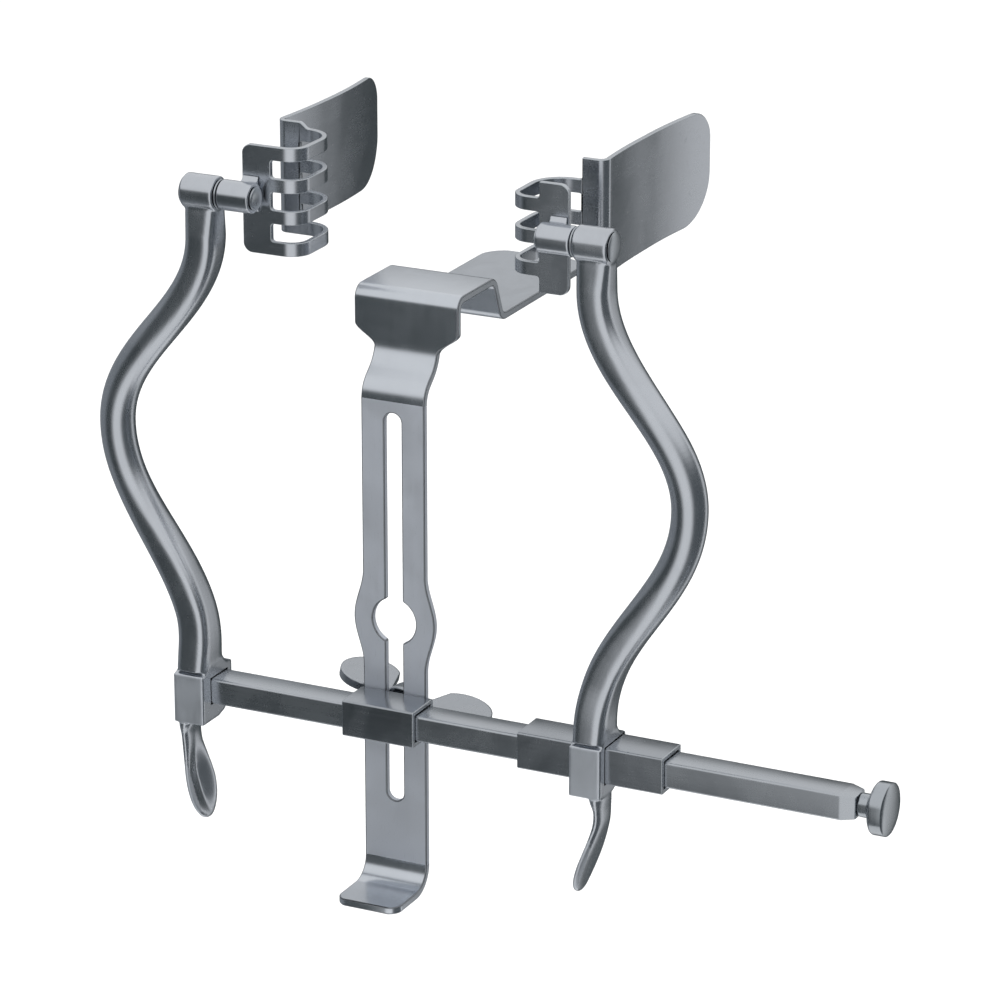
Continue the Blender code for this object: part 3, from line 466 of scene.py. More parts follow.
tube = {"wall": 1.3 * mm, "gap": 0.3 * mm, "edge": 0.7 * mm, "mouth": 0.25 * mm}
sleeve = {"centre": 135 * mm, "length": 46 * mm}
slider = {"centre": 66.6 * mm, "length": 23.4 * mm}


def makeTube(name, size, body, node):
    bm = bmesh.new()
    halfLength = size["length"] / 2
    halfDepth = bar["depth"] / 2 + tube["gap"] + tube["wall"]
    halfHeight = bar["height"] / 2 + tube["gap"] + tube["wall"]
    blockBetween(bm, (size["centre"] - halfLength, -halfDepth, -halfHeight),
                 (size["centre"] + halfLength, halfDepth, halfHeight))
    longEdges = edgesAlong(bm, axisX)
    ends = [face for face in bm.faces if abs(face.normal.x) > 0.9]
    ops.inset_individual(bm, faces=ends, thickness=tube["wall"], use_even_offset=True)
    rims = [edge for face in ends for edge in face.edges]
    ops.delete(bm, geom=ends, context="FACES_ONLY")
    ops.bridge_loops(bm, edges=rims)
    bevelEdges(bm, longEdges, tube["edge"], 4)
    piece = makePiece(name, bm)
    roundRims(piece, tube["mouth"])
    dress(piece, body, node, "bar_steel", steels["sleeve"], steels["rim"])


makeCrossbar()
makeTube("slideSleeveSteel", sleeve, "sliding_arm", "right_slide_sleeve")
makeTube("centreSliderSteel", slider, "slider", "centre_slider")
print("bar, sleeve and slider made")


# End knob, turned in one piece

knob = {
    "tip": 216 * mm, "shank": 2.0 * mm, "shankLength": 12 * mm, "seat": 0.3 * mm, "neck": 3.5 * mm,
    "neckLength": 3 * mm, "cone": 1.9 * mm, "radius": 7.8 * mm, "rim": 3.7 * mm, "dome": 0.9 * mm,
    "edge": 0.45 * mm, "steps": 96,
}


def makeKnob():
    bm = bmesh.new()
    start = knob["seat"]
    coneStart = start + knob["neckLength"]
    rimStart = coneStart + knob["cone"]
    rimEnd = rimStart + knob["rim"]
    profile = [(-knob["shankLength"], knob["shank"]), (start, knob["shank"]), (start, knob["neck"]),
               (coneStart, knob["neck"]),
               (rimStart - 0.3 * knob["cone"], knob["radius"] - 0.4 * knob["cone"]),
               (rimStart, knob["radius"]), (rimEnd, knob["radius"])]
    profile = roundedCorners(profile, knob["edge"], 3)
    profile += domePoints(rimEnd, knob["dome"], knob["radius"], 12, 88, 12)
    turnProfile(bm, profile, axisX, (knob["tip"], 0, 0), knob["steps"])
    dress(makePiece("endKnobSteel", bm), "knob", "end_knob", "knob_steel", steels["knob"])


makeKnob()
print("end knob made")


# Arms: block, bowed shank, knuckle and thumb grip, forged as one and ground smooth

arm = {
    "blockWidth": 10 * mm, "front": -10 * mm, "back": 8 * mm, "drop": 9.5 * mm, "rise": 8 * mm,
    "shoulder": 2 * mm, "fillet": 6 * mm, "frontSkin": 0.3 * mm, "height": 152.6 * mm, "bow": 27.6 * mm,
    "bowHeight": 79 * mm, "footHeight": 12 * mm, "neckDrop": 13 * mm, "radius": 5.3 * mm,
    "headHalfWidth": 4.9 * mm, "headHalfDepth": 5.8 * mm, "headBack": 2 * mm, "inset": 2.5 * mm,
    "hingeBack": 1 * mm, "knuckleRadius": 5.2 * mm, "knuckleLength": 10.8 * mm, "knuckleEdge": 0.7 * mm,
    "pinBore": 2.6 * mm, "cutReach": 12 * mm, "rootHeight": 25 * mm, "rootRun": 18.5 * mm,
    "rootForward": 1.7 * mm, "rootDeeper": 1.1 * mm, "voxel": 0.36 * mm, "smoothing": 6,
}
grip = {
    "length": 31 * mm, "thickness": 3.0 * mm, "width": 15.6 * mm, "dish": 1.2 * mm, "squareness": 2.4,
    "rows": (  # share of the length, outward mm, back mm, share of thickness, of width, of the dish
        (-0.11, 2.0, -4.4, 1.7, 0.56, 0.0), (0.03, 2.6, -4.2, 1.5, 0.70, 0.0),
        (0.15, 2.9, -3.6, 1.0, 0.66, 0.1), (0.29, 2.6, -3.4, 1.0, 0.67, 0.3),
        (0.42, 1.6, -3.6, 1.0, 0.80, 0.7), (0.55, 0.4, -4.0, 1.0, 0.94, 1.0),
        (0.68, -0.9, -4.4, 1.0, 1.0, 1.0), (0.81, -2.1, -4.8, 0.95, 0.90, 0.8),
        (0.90, -2.8, -5.0, 0.85, 0.70, 0.4), (0.97, -3.2, -5.1, 0.7, 0.42, 0.0),
        (1.0, -3.4, -5.1, 0.4, 0.18, 0.0),
    ),
}


def shankSections(blockX, side):
    sections = []

    def addSection(*oval):
        sections.append(ovalSection(blockX, side, *oval))

    for drop, width, depth in ((1 * mm, 1.0, 0.62), (6 * mm, 1.04, 0.8)):
        back = arm["hingeBack"] + (arm["headBack"] - arm["hingeBack"]) * depth
        addSection((-arm["inset"], back, arm["height"] - drop), 0, width * arm["headHalfWidth"],
                   depth * arm["headHalfDepth"], 4)
    head = Vector((-arm["inset"], arm["height"] - arm["neckDrop"], 0))
    bow = Vector((arm["bow"], arm["bowHeight"], 0))
    foot = Vector((0, arm["footHeight"], 0))
    points = []
    for start, end in ((head, bow), (bow, foot)):
        pull = Vector((0, (end.y - start.y) * 0.4, 0))
        curve = interpolate_bezier(start, start + pull, end - pull, end, 45)
        points += curve[1:] if points else curve
    last, radius = len(points) - 1, arm["radius"]
    for i, point in enumerate(points):
        before, after = points[max(i - 1, 0)], points[min(i + 1, last)]
        slope = atan2(before.x - after.x, before.y - after.y)
        headShare = smoothStep(1 - i / last * 3)
        footShare = smoothStep(i / last * 2.5 - 1.5)
        rootShare = smoothStep((arm["rootHeight"] - point.y) / arm["rootRun"])
        halfAcross = radius * (1 - 0.06 * footShare) + headShare * (arm["headHalfWidth"] - radius)
        halfDepth = radius * (1 + 0.1 * footShare) + headShare * (arm["headHalfDepth"] - radius)
        halfDepth += rootShare * arm["rootDeeper"]
        squareness = 2 + 1.6 * headShare + 2.4 * footShare
        back = headShare * arm["headBack"] - footShare * mm - rootShare * arm["rootForward"]
        addSection((point.x, back, point.y), slope, halfAcross, halfDepth, squareness)
    low = bar["height"] / 2 + tube["wall"] + 2 * tube["gap"] + mm
    addSection((0, -mm - arm["rootForward"], low), 0, 0.92 * radius, 1.15 * radius + arm["rootDeeper"], 4.4)
    return sections


def gripSections(blockX, side):
    rows = grip["rows"]
    last = 44
    shares = [rows[0][0] + (rows[-1][0] - rows[0][0]) * i / last for i in range(last + 1)]
    table = [sampleRows(rows, share) for share in shares]
    sections = []
    for i, (share, (out, back, thick, wide, dish)) in enumerate(zip(shares, table)):
        before, after = max(i - 1, 0), min(i + 1, last)
        run = (shares[after] - shares[before]) * grip["length"]
        slope = -atan2((table[after][0] - table[before][0]) * mm, run)
        centre = (out * mm, back * mm, -arm["drop"] - share * grip["length"])
        sections.append(ovalSection(blockX, side, centre, slope, thick * grip["thickness"] / 2,
                                    wide * grip["width"] / 2, grip["squareness"], dish * grip["dish"]))
    return sections


def makeBlock(bm, blockX):
    front, back, bottom = arm["front"], arm["back"], -arm["drop"]
    shoulder, fillet = arm["rise"] - arm["shoulder"], arm["fillet"]
    outline = [(front, bottom), (0, bottom)]
    outline += arcPoints((back, bottom - fillet / 2), fillet, 145, 90, 8)[1:]
    outline += arcPoints((back, shoulder + fillet), fillet, 270, 215, 8)
    outline += arcPoints((front, shoulder + fillet), fillet, 325, 270, 8)
    left = blockX - arm["blockWidth"] / 2
    pushOutline(bm, [(left, y, z) for y, z in outline], (arm["blockWidth"], 0, 0))


def makeArm(name, blockX, side, body, node, room):
    bm = bmesh.new()
    makeBlock(bm, blockX)
    sweepSections(bm, shankSections(blockX, side))
    sweepSections(bm, gripSections(blockX, side))
    knuckle = Vector((blockX - side * arm["inset"], arm["hingeBack"], arm["height"]))
    half, reach = arm["knuckleLength"] / 2, arm["cutReach"]
    turnRod(bm, -half, half, arm["knuckleRadius"], 0.4 * mm, arm["knuckleEdge"], axisX, knuckle)
    piece = makePiece(name, bm, sharp=0)
    forge(piece, arm["voxel"], arm["smoothing"])
    halfDepth, halfHeight = bar["depth"] / 2 + room, bar["height"] / 2 + room
    hole = bmesh.new()
    blockBetween(hole, (blockX - reach, -halfDepth, -halfHeight), (blockX + reach, halfDepth, halfHeight))
    cutAway(piece, [makePiece(name + "Hole", hole),
                    boreCutter(name + "Bore", -reach, reach, arm["pinBore"], axisX, knuckle)], 50)
    dress(piece, body, node, "arm_steel", steels["arm"], steels["block"])
    for face in piece.data.polygons:
        isLow = face.center.z < arm["rise"] - arm["shoulder"]
        face.material_index = int(isLow and face.center.y < arm["front"] + arm["frontSkin"])


makeArm("leftArmSteel", 5 * mm, -1, "frame", "left_arm", tube["gap"])
makeArm("rightArmSteel", 135 * mm, 1, "sliding_arm", "right_arm", tube["wall"] + 2 * tube["gap"])
print("arms made")


# Centre blade, bent from one strip: hook, slotted strip, joggle, plate, shelf, step and blade

stud = {
    "x": 65.4 * mm, "radius": 2.2 * mm, "start": 5.6 * mm, "length": 18 * mm, "collar": 2.2 * mm,
    "pitch": 0.8 * mm, "depth": 0.28 * mm, "chamfer": 0.6 * mm,
}
centreBlade = {
    "sheet": 2.2 * mm, "y": 8.0 * mm, "stripWidth": 20.5 * mm, "hookReach": 13 * mm, "hookRadius": 7.5 * mm,
    "hookDrop": 56 * mm, "hookCorner": 4 * mm, "slotWidth": 5.6 * mm, "slotBottom": -29.5 * mm,
    "slotTop": 91.8 * mm, "keyHeight": 27.5 * mm, "keyRadius": 7.1 * mm, "bulgeWidth": 26.4 * mm,
    "bulgeReach": 15 * mm, "joggleHeight": 94.7 * mm, "joggleBack": 9 * mm, "joggleAngle": radians(50),
    "joggleRadius": 8 * mm, "plateBend": 12 * mm, "plateWidth": 33.6 * mm, "plateFlare": 6.5 * mm,
    "flareHeight": 108.3 * mm, "plateTop": 126 * mm, "plateRadius": 3 * mm, "shelfDepth": 24.5 * mm,
    "stepDrop": 12.4 * mm, "stepAngle": radians(68), "stepRadius": 3.5 * mm, "reachBack": 106 * mm,
    "reachCorner": 8 * mm, "rim": 0.4 * mm, "endHalf": 1.0 * mm, "cutReach": 5 * mm,
    "satinFrom": -46 * mm, "satinTo": 95 * mm,
}


# Half the strip's width at a row
def centreHalfWidth(y, z):
    size = centreBlade
    plateY = size["y"] + size["joggleBack"]
    share, widest = 0.0, size["plateWidth"]
    if y > size["y"] + 0.9 * size["joggleBack"]:
        share = smoothStep((z - size["flareHeight"]) / size["plateFlare"]) if y < plateY + 0.01 * mm else 1.0
    elif abs(z - size["keyHeight"]) < size["bulgeReach"]:
        share = 0.5 + 0.5 * cos(pi * (z - size["keyHeight"]) / size["bulgeReach"])
        widest = size["bulgeWidth"]
    return (size["stripWidth"] + share * (widest - size["stripWidth"])) / 2


def makeCentreBlade():
    size = centreBlade
    joggle, joggleRun = doubleBend(size["joggleBack"], size["joggleAngle"], size["joggleRadius"],
                                   size["plateBend"])
    step, stepRun = doubleBend(size["stepDrop"], size["stepAngle"], size["stepRadius"], size["stepRadius"])
    hookFlat = size["hookReach"] + size["y"] - size["hookRadius"] - size["hookCorner"]
    stripLow = size["keyHeight"] - size["bulgeReach"] - size["hookRadius"] + size["hookDrop"]
    stripHigh = size["joggleHeight"] - size["keyHeight"] - size["bulgeReach"]
    plateRise = size["plateTop"] - size["sheet"] / 2 - size["plateRadius"] - size["joggleHeight"] - joggleRun
    shelf = size["shelfDepth"] - size["plateRadius"] - size["stepRadius"]
    stepEnd = size["y"] + size["joggleBack"] + size["shelfDepth"] - size["stepRadius"] + stepRun
    reachFlat = size["reachBack"] - stepEnd - size["reachCorner"]
    moves = [("line", size["hookCorner"], 12), ("line", hookFlat, 1),
             ("bend", size["hookRadius"], pi / 2, 24), ("line", stripLow, 1),
             ("line", 2 * size["bulgeReach"], 48), ("line", stripHigh, 1), *joggle,
             ("line", size["plateFlare"], 16), ("line", plateRise - size["plateFlare"], 1),
             ("bend", size["plateRadius"], -pi / 2, 16), ("line", shelf, 1), *step,
             ("line", reachFlat, 1), ("line", size["reachCorner"], 20)]
    bm = bmesh.new()
    start = (stud["x"], -size["hookReach"], -size["hookDrop"])
    rows = bentSheet(bm, start, moves, axisX, size["stripWidth"] / 2)
    total = rows[-1][1]
    for row, distance in rows:
        half = centreHalfWidth(row[0].co.y, row[0].co.z)
        half -= cornerInset(distance, size["hookCorner"]) + cornerInset(total - distance, size["reachCorner"])
        for vert, side in zip(row, (-1, 1)):
            vert.co.x = stud["x"] + side * max(half, size["endHalf"])
    piece = makePiece("centreBladeSteel", bm, sharp=0)
    addStep(piece, "SOLIDIFY", thickness=size["sheet"], offset=0.0, use_even_offset=True)
    halfSlot = size["slotWidth"] / 2
    cross = degrees(asin(halfSlot / size["keyRadius"]))
    key = (stud["x"], size["keyHeight"])
    outline = arcPoints((stud["x"], size["slotBottom"] + halfSlot), halfSlot, 180, 360, 20)
    outline += arcPoints(key, size["keyRadius"], 270 + cross, 450 - cross, 32)
    outline += arcPoints((stud["x"], size["slotTop"] - halfSlot), halfSlot, 0, 180, 20)
    outline += arcPoints(key, size["keyRadius"], 90 + cross, 270 - cross, 32)
    cutter = bmesh.new()
    front, depth = size["y"] - size["cutReach"], 2 * size["cutReach"]
    pushOutline(cutter, [(x, front, z) for x, z in outline], (0, depth, 0))
    cutAway(piece, [makePiece("slotCutter", cutter)], 40)
    # The rims take the second material, a painted shade that darkens the blade's edges
    dress(piece, "centre", "centre_blade", "centre_blade_steel",
          steels["strip"], steels["edge"], steels["plate"])
    for face in piece.data.polygons:
        middle = face.center
        satin = size["satinFrom"] < middle.z < size["satinTo"] and middle.y < size["y"] + 1.5 * size["sheet"]
        face.material_index = 0 if satin else 2
    roundRims(piece, size["rim"], clamped=False)


makeCentreBlade()
print("centre blade made")


# Lateral blades: hinge flange, open looped end of rungs, flat blade that flares at its tip

lateral = {
    "sheet": 1.6 * mm, "flangeOut": 10.4 * mm, "flangeWidth": 9.3 * mm, "flangeCorner": 3 * mm,
    "flangeFront": 4.6 * mm, "height": 32.4 * mm, "drop": 17.8 * mm, "loopReach": 29.4 * mm,
    "loopDepth": 24.2 * mm, "frontRadius": 5.2 * mm, "rearRadius": 9 * mm, "bendRadius": 2.2 * mm,
    "flare": 3 * mm, "flareLength": 35 * mm, "slope": 0.6 * mm, "raise": 1.8 * mm, "raiseRun": 3 * mm,
    "rootTurn": radians(5), "rootRun": 22 * mm, "topCorner": 9 * mm, "lowCorner": 15 * mm,
    "rungHeight": 4.1 * mm, "slotEnd": 0.9 * mm, "rearSlotEnd": 6.6 * mm, "mostRungs": 4, "rim": 0.3 * mm,
}


def lateralMoves(reach):
    size = lateral
    half = size["sheet"] / 2
    innerEnd = size["loopReach"] - half
    flareRadius = (size["flareLength"] ** 2 + size["flare"] ** 2) / (2 * size["flare"])
    flareTurn = 2 * atan(size["flare"] / size["flareLength"])
    bendEnd = size["flangeFront"] + size["loopDepth"] - half + size["bendRadius"]
    share = size["lowCorner"] / size["flareLength"]
    drift = size["rootRun"] * tan(size["rootTurn"] / 2)
    rearFlat = innerEnd - size["rearRadius"] - size["bendRadius"] - size["flangeOut"] - half + drift
    return [("line", size["flangeCorner"], 10),
            ("line", innerEnd - size["frontRadius"] - size["flangeOut"] - size["flangeCorner"], 1),
            ("bend", size["frontRadius"], pi / 2, 16),
            ("line", size["loopDepth"] - size["sheet"] - size["frontRadius"] - size["rearRadius"], 1),
            ("bend", size["rearRadius"], pi / 2, 24),
            ("line", rearFlat, 24),
            ("bend", size["bendRadius"], -pi / 2 - size["rootTurn"], 12),
            ("bend", size["rootRun"] / size["rootTurn"], size["rootTurn"], 12),
            ("line", reach - size["flareLength"] - bendEnd - size["rootRun"], 1),
            ("bend", flareRadius, flareTurn * (1 - share), 12), ("bend", flareRadius, flareTurn * share, 28)]


# Heights between which the loops are open
def openBands(rungs):
    size = lateral
    pitch = (size["height"] - size["rungHeight"]) / (size["mostRungs"] - 1)
    first = (size["mostRungs"] - rungs) * pitch / 2
    rims = [-mm] if first else []
    for i in range(rungs):
        rims += [first + i * pitch, first + i * pitch + size["rungHeight"]]
    rims = rims + [size["height"] + size["raise"] + mm] if first else rims[1:-1]
    return list(zip(rims[0::2], rims[1::2]))


def makeLateralBlade(name, hingeX, side, reach, rungs, body, node):
    size = lateral
    bottom = arm["height"] - size["drop"]
    top = bottom + size["height"]
    bm = bmesh.new()
    start = (size["flangeOut"], size["flangeFront"] + size["sheet"] / 2, 0)
    rows = bentSheet(bm, start, lateralMoves(reach), axisZ, size["height"] / 2)
    total = rows[-1][1]
    for row, distance in rows:
        inward, back = row[0].co.x, row[0].co.y
        rest = total - distance
        low = bottom + cornerInset(distance, size["flangeCorner"]) + cornerInset(rest, size["lowCorner"])
        high = top - cornerInset(distance, size["flangeCorner"]) - cornerInset(rest, size["topCorner"])
        if back > size["flangeFront"] + size["loopDepth"] / 2:
            raised = (size["flangeOut"] + size["rearSlotEnd"] + size["raiseRun"] - inward) / size["raiseRun"]
            high += size["raise"] * smoothStep(raised) - size["slope"] * smoothStep(back / reach)
        for vert, height in zip(row, (low, high)):
            vert.co = Vector((hingeX - side * inward, arm["hingeBack"] + back, height))
    piece = makePiece(name, bm, sharp=0)
    addStep(piece, "SOLIDIFY", thickness=size["sheet"], offset=0.0, use_even_offset=True)
    front = arm["hingeBack"] + size["flangeFront"]
    split, rear = front + size["loopDepth"] / 2, front + size["loopDepth"] + mm
    far = hingeX - side * (size["loopReach"] + mm)
    cutters = []
    for low, high in openBands(rungs):
        for begin, y0, y1 in ((size["flangeWidth"], front - mm, split),
                              (size["rearSlotEnd"], split - 0.5 * mm, rear)):
            near = hingeX - side * (size["flangeOut"] + begin)
            cutter = bmesh.new()
            blockBetween(cutter, (min(near, far), y0, bottom + low), (max(near, far), y1, bottom + high))
            corners = [edge for edge in edgesAlong(cutter, axisY)
                       if abs(edge.verts[0].co.x - near) < 0.1 * mm]
            bevelEdges(cutter, corners, size["slotEnd"], 6)
            cutters.append(makePiece(name + "Gap", cutter))
    cutAway(piece, cutters, 40)
    roundRims(piece, size["rim"], clamped=False)
    dress(piece, body, node, "lateral_blade_steel", steels["blade"], steels["rim"])


leftHingeX, rightHingeX = 7.5 * mm, 132.5 * mm
makeLateralBlade("leftBladeSteel", leftHingeX, -1, 92.0 * mm, 4, "left_blade", "left_lateral_blade")
makeLateralBlade("rightBladeSteel", rightHingeX, 1, 96.5 * mm, 3, "right_blade", "right_lateral_blade")
print("lateral blades made")


# Hinges: barrel on its foot, thin washer, pin with a domed head and a riveted tail

hinge = {
    "barrelStart": 6.5 * mm, "barrelLength": 10.4 * mm, "barrelRadius": 4.5 * mm, "barrelEdge": 0.5 * mm,
    "foot": 3.6 * mm, "footFillet": 2.4 * mm, "voxel": 0.2 * mm, "smoothing": 4, "gap": 0.3 * mm,
    "washer": 0.5 * mm, "washerRadius": 4.4 * mm, "washerRim": 0.12 * mm, "pin": 2.3 * mm, "head": 0.6 * mm,
    "headRadius": 4.3 * mm, "tail": 0.7 * mm, "tailRadius": 3.4 * mm, "tailEdge": 0.4,
}


def makeBarrel(label, hingeX, side, body, inward, centre):
    size = hinge
    start, end = size["barrelStart"], size["barrelStart"] + size["barrelLength"]
    bm = bmesh.new()
    turnRod(bm, start, end, size["barrelRadius"], 0.3 * mm, size["barrelEdge"], inward, centre)
    fillet = size["footFillet"]
    arcY = arm["hingeBack"] + lateral["flangeFront"] - size["gap"] - fillet
    low, high = arm["height"] - size["foot"], arm["height"] + size["foot"]
    outline = [(arm["hingeBack"], low)] + arcPoints((arcY, low - fillet), fillet, 90, 0, 8)
    outline += arcPoints((arcY, high + fillet), fillet, 0, -90, 8) + [(arm["hingeBack"], high)]
    reaches = (lateral["flangeOut"] + 0.4 * mm, end - mm)
    footStart, footEnd = sorted(hingeX - side * reach for reach in reaches)
    pushOutline(bm, [(footStart, y, z) for y, z in outline], (footEnd - footStart, 0, 0))
    barrel = makePiece(label + "BarrelSteel", bm, sharp=0)
    forge(barrel, size["voxel"], size["smoothing"])
    bore = boreCutter(label + "BarrelBore", start - mm, end + mm, size["pin"] + size["gap"], inward, centre)
    cutAway(barrel, [bore], 50)
    dress(barrel, body, label + "_hinge_barrel", "barrel_steel", steels["barrel"])


def makeWasher(label, body, inward, centre):
    bm = bmesh.new()
    start = arm["knuckleLength"] / 2 + hinge["gap"]
    end = start + hinge["washer"]
    inner, outer = hinge["pin"] + hinge["gap"], hinge["washerRadius"]
    corners = ((start, inner), (start, outer), (end, outer), (end, inner))
    row = [bm.verts.new(centre + inward * along + axisZ * radius) for along, radius in corners]
    loop = [bm.edges.new((row[i], row[(i + 1) % 4])) for i in range(4)]
    ops.spin(bm, geom=row + loop, cent=centre, axis=axisX, angle=2 * pi, steps=64, use_merge=True)
    washer = makePiece(label + "WasherSteel", bm)
    roundRims(washer, hinge["washerRim"], polished=False)
    dress(washer, body, label + "_hinge_washer", "pin_steel", steels["pin"])


def makeHingePin(label, body, inward, centre):
    size = hinge
    bm = bmesh.new()
    head = -arm["knuckleLength"] / 2 - size["gap"]
    tail = size["barrelStart"] + size["barrelLength"] + size["gap"]
    tailRim = tail + size["tailEdge"] * size["tail"]
    tailDome = (1 - size["tailEdge"]) * size["tail"]
    profile = domePoints(head, -size["head"], size["headRadius"], 88, 18, 8)
    profile += [(head - 0.1 * mm, size["headRadius"]), (head, size["headRadius"]), (head, size["pin"]),
                (tail, size["pin"]), (tail, size["tailRadius"]), (tailRim, size["tailRadius"])]
    profile += domePoints(tailRim, tailDome, size["tailRadius"], 11, 77, 6)
    turnProfile(bm, profile, inward, centre)
    dress(makePiece(label + "PinSteel", bm), body, label + "_hinge_pin", "pin_steel", steels["pin"])


def makeHinge(label, hingeX, side, bladeBody, armBody):
    place = (Vector((-side, 0, 0)), Vector((hingeX, arm["hingeBack"], arm["height"])))
    makeBarrel(label, hingeX, side, bladeBody, *place)
    makeWasher(label, armBody, *place)
    makeHingePin(label, armBody, *place)


makeHinge("left", leftHingeX, -1, "left_blade", "frame")
makeHinge("right", rightHingeX, 1, "right_blade", "sliding_arm")
print("hinges made")


# Fixing pin of the bar, clamp stud and wing nut

fixingPin = {"x": 5 * mm, "start": -1.7 * mm, "end": 8 * mm, "radius": 1.5 * mm, "edge": 0.35 * mm}


def makeFixingPin():
    size = fixingPin
    bm = bmesh.new()
    profile = [(size["start"], 0.3 * mm), (size["start"], size["radius"]), (size["end"], size["radius"]),
               (size["end"], 0.2 * mm)]
    turnProfile(bm, roundedCorners(profile, size["edge"]), axisY, (size["x"], 0, 0), 48)
    dress(makePiece("fixingPinSteel", bm), "frame", "bar_fixing_pin", "pin_steel", steels["pin"])


def makeStud():
    bm = bmesh.new()
    start, end, radius = stud["start"], stud["start"] + stud["length"], stud["radius"]
    profile = [(start, 0.3 * mm), (start, radius)]
    for i in range(int((stud["length"] - stud["collar"] - mm) / stud["pitch"])):
        here = start + stud["collar"] + i * stud["pitch"]
        profile += [(here, radius), (here + 0.42 * stud["pitch"], radius - stud["depth"]),
                    (here + 0.58 * stud["pitch"], radius - stud["depth"])]
    profile += [(end - stud["chamfer"], radius), (end, radius - stud["chamfer"]), (end, 0.3 * mm)]
    turnProfile(bm, profile, axisY, (stud["x"], 0, 0), 48)
    dress(makePiece("clampStudSteel", bm, sharp=25), "slider", "clamp_stud", "stud_steel", steels["thread"])


nut = {
    "seat": 9.4 * mm, "radius": 5.9 * mm, "tipRadius": 4.6 * mm, "height": 9.5 * mm, "reach": 24.8 * mm,
    "thickness": 2.8 * mm, "wingRadius": 9.2 * mm, "lift": 8.2 * mm, "root": 6 * mm, "setback": 1.2 * mm,
    "bore": 2.5 * mm, "tilt": radians(12), "voxel": 0.26 * mm, "smoothing": 8,
}


def makeWingNut():
    size = nut
    seat, top = size["seat"], size["seat"] + size["height"]
    bm = bmesh.new()
    profile = [(seat, 0.3 * mm), (seat, size["radius"] - 0.2 * mm), (seat + 0.4 * mm, size["radius"]),
               (seat + 0.6 * size["height"], size["radius"] * 0.92), (top - 0.3 * mm, size["tipRadius"]),
               (top, size["tipRadius"] - 0.6 * mm), (top, 0.3 * mm)]
    turnProfile(bm, profile, axisY, (0, 0, 0))
    tip = (size["reach"] - size["wingRadius"], seat + size["root"] / 2 + size["lift"])
    front = seat + size["setback"]
    back = front + size["root"]
    right = [(0, front), (size["radius"], front)]
    right += arcPoints(tip, size["wingRadius"], -110, 140, 32)
    right += [(size["radius"], back), (0, back)]
    outline = right + [(-a, b) for a, b in reversed(right[1:-1])]
    pushOutline(bm, [(x, y, -size["thickness"] / 2) for x, y in outline], (0, 0, size["thickness"]))
    piece = makePiece("wingNutSteel", bm, sharp=0)
    forge(piece, size["voxel"], size["smoothing"])
    cutAway(piece, [boreCutter("nutBore", seat - mm, top + mm, size["bore"], axisY, (0, 0, 0))], 50)
    piece.data.transform(Matrix.Translation((stud["x"], 0, 0)) @ Matrix.Rotation(size["tilt"], 4, "Y"))
    dress(piece, "nut", "wing_nut", "nut_steel", steels["nut"])


makeFixingPin()
makeStud()
makeWingNut()
print("fixing pin, stud and wing nut made")


# Stage: pale floor, white surroundings, lamps, dark cloths that only reflections show, camera

stage = {  # the floor lies below the centre blade at its lowest place
    "floorHeight": -124 * mm, "floorSize": 9.0, "floorTone": 0.90, "ambient": 1.08,
    "centre": (0.100, 0.0, 0.070),
}


def makeFloor():
    bm = bmesh.new()
    ops.create_grid(bm, x_segments=1, y_segments=1, size=stage["floorSize"] / 2)
    ops.translate(bm, verts=bm.verts, vec=(stage["centre"][0], 0, stage["floorHeight"]))
    floor = makePiece("paleFloor", bm)
    material, tree = newMaterial("paleFloorPaint")
    shader = tree.nodes["Principled BSDF"]
    tone = stage["floorTone"]
    shader.inputs["Base Color"].default_value = (tone, tone, tone, 1)
    shader.inputs["Roughness"].default_value = 0.9
    shader.inputs["Specular IOR Level"].default_value = 0.0
    floor.data.materials.append(material)
    floor.visible_glossy = False


def makeWorld():
    world = bpy.data.worlds.new("softStudio")
    bpy.context.scene.world = world
    world.use_nodes = True
    tree = world.node_tree
    tree.nodes.clear()
    path = addNode(tree, "LightPath").outputs
    first = addMath(tree, "MAXIMUM", path["Is Camera Ray"], path["Is Glossy Ray"])
    seen = addMath(tree, "MAXIMUM", first, path["Is Transmission Ray"])
    level = addRange(tree, seen, 0.0, 1.0, "LINEAR", To_Min=stage["ambient"], To_Max=1.0)
    light = addNode(tree, "Background", Color=(1, 1, 1, 1), Strength=level)
    addNode(tree, "OutputWorld", Surface=light.outputs[0])


def aimed(position, target):
    direction = Vector(target) - Vector(position)
    return Matrix.Translation(position) @ direction.to_track_quat("-Z", "Y").to_matrix().to_4x4()


lamps = (  # name, direction from the object, distance, width, height, watts
    ("keyLamp", (-0.75, -0.55, 0.75), 1.3, 0.9, 0.9, 4.0),
    ("topLamp", (0.10, 0.15, 1.0), 1.2, 1.2, 1.2, 5.5),
    ("sideLamp", (1.0, -0.5, 0.35), 1.4, 0.7, 1.1, 2.5),
)
leftCurtain = {
    "name": "leftCurtain", "radius": 1.0, "bottom": -1.6, "top": 0.62, "middle": radians(157),
    "reach": radians(111), "softStart": radians(28), "softEnd": radians(24),
    "grey": (0.033, 0.045, 0.049), "lowGrey": (0.115, 0.13, 0.138), "pale": (0.26, 0.28, 0.30),
    "backTop": 0.44, "frontTop": 0.42, "fade": 0.26, "cover": 0.96,
}
rightCurtain = {
    "name": "rightCurtain", "radius": 1.05, "bottom": -1.6, "top": 0.9, "middle": radians(-5),
    "reach": radians(52), "softStart": radians(24), "softEnd": radians(10),
    "grey": (0.045, 0.060, 0.070), "lowGrey": (0.13, 0.15, 0.165), "pale": (0.045, 0.060, 0.070),
    "backTop": 0.60, "frontTop": 0.60, "fade": 0.35, "cover": 0.92,
}
bands = {  # angles from a cloth's middle, or heights, between which its tone or top changes
    "top": (-0.6, 1.5), "low": (-0.35, -1.1), "paleStart": (-0.9, -0.5), "paleEnd": (1.15, 0.75),
}


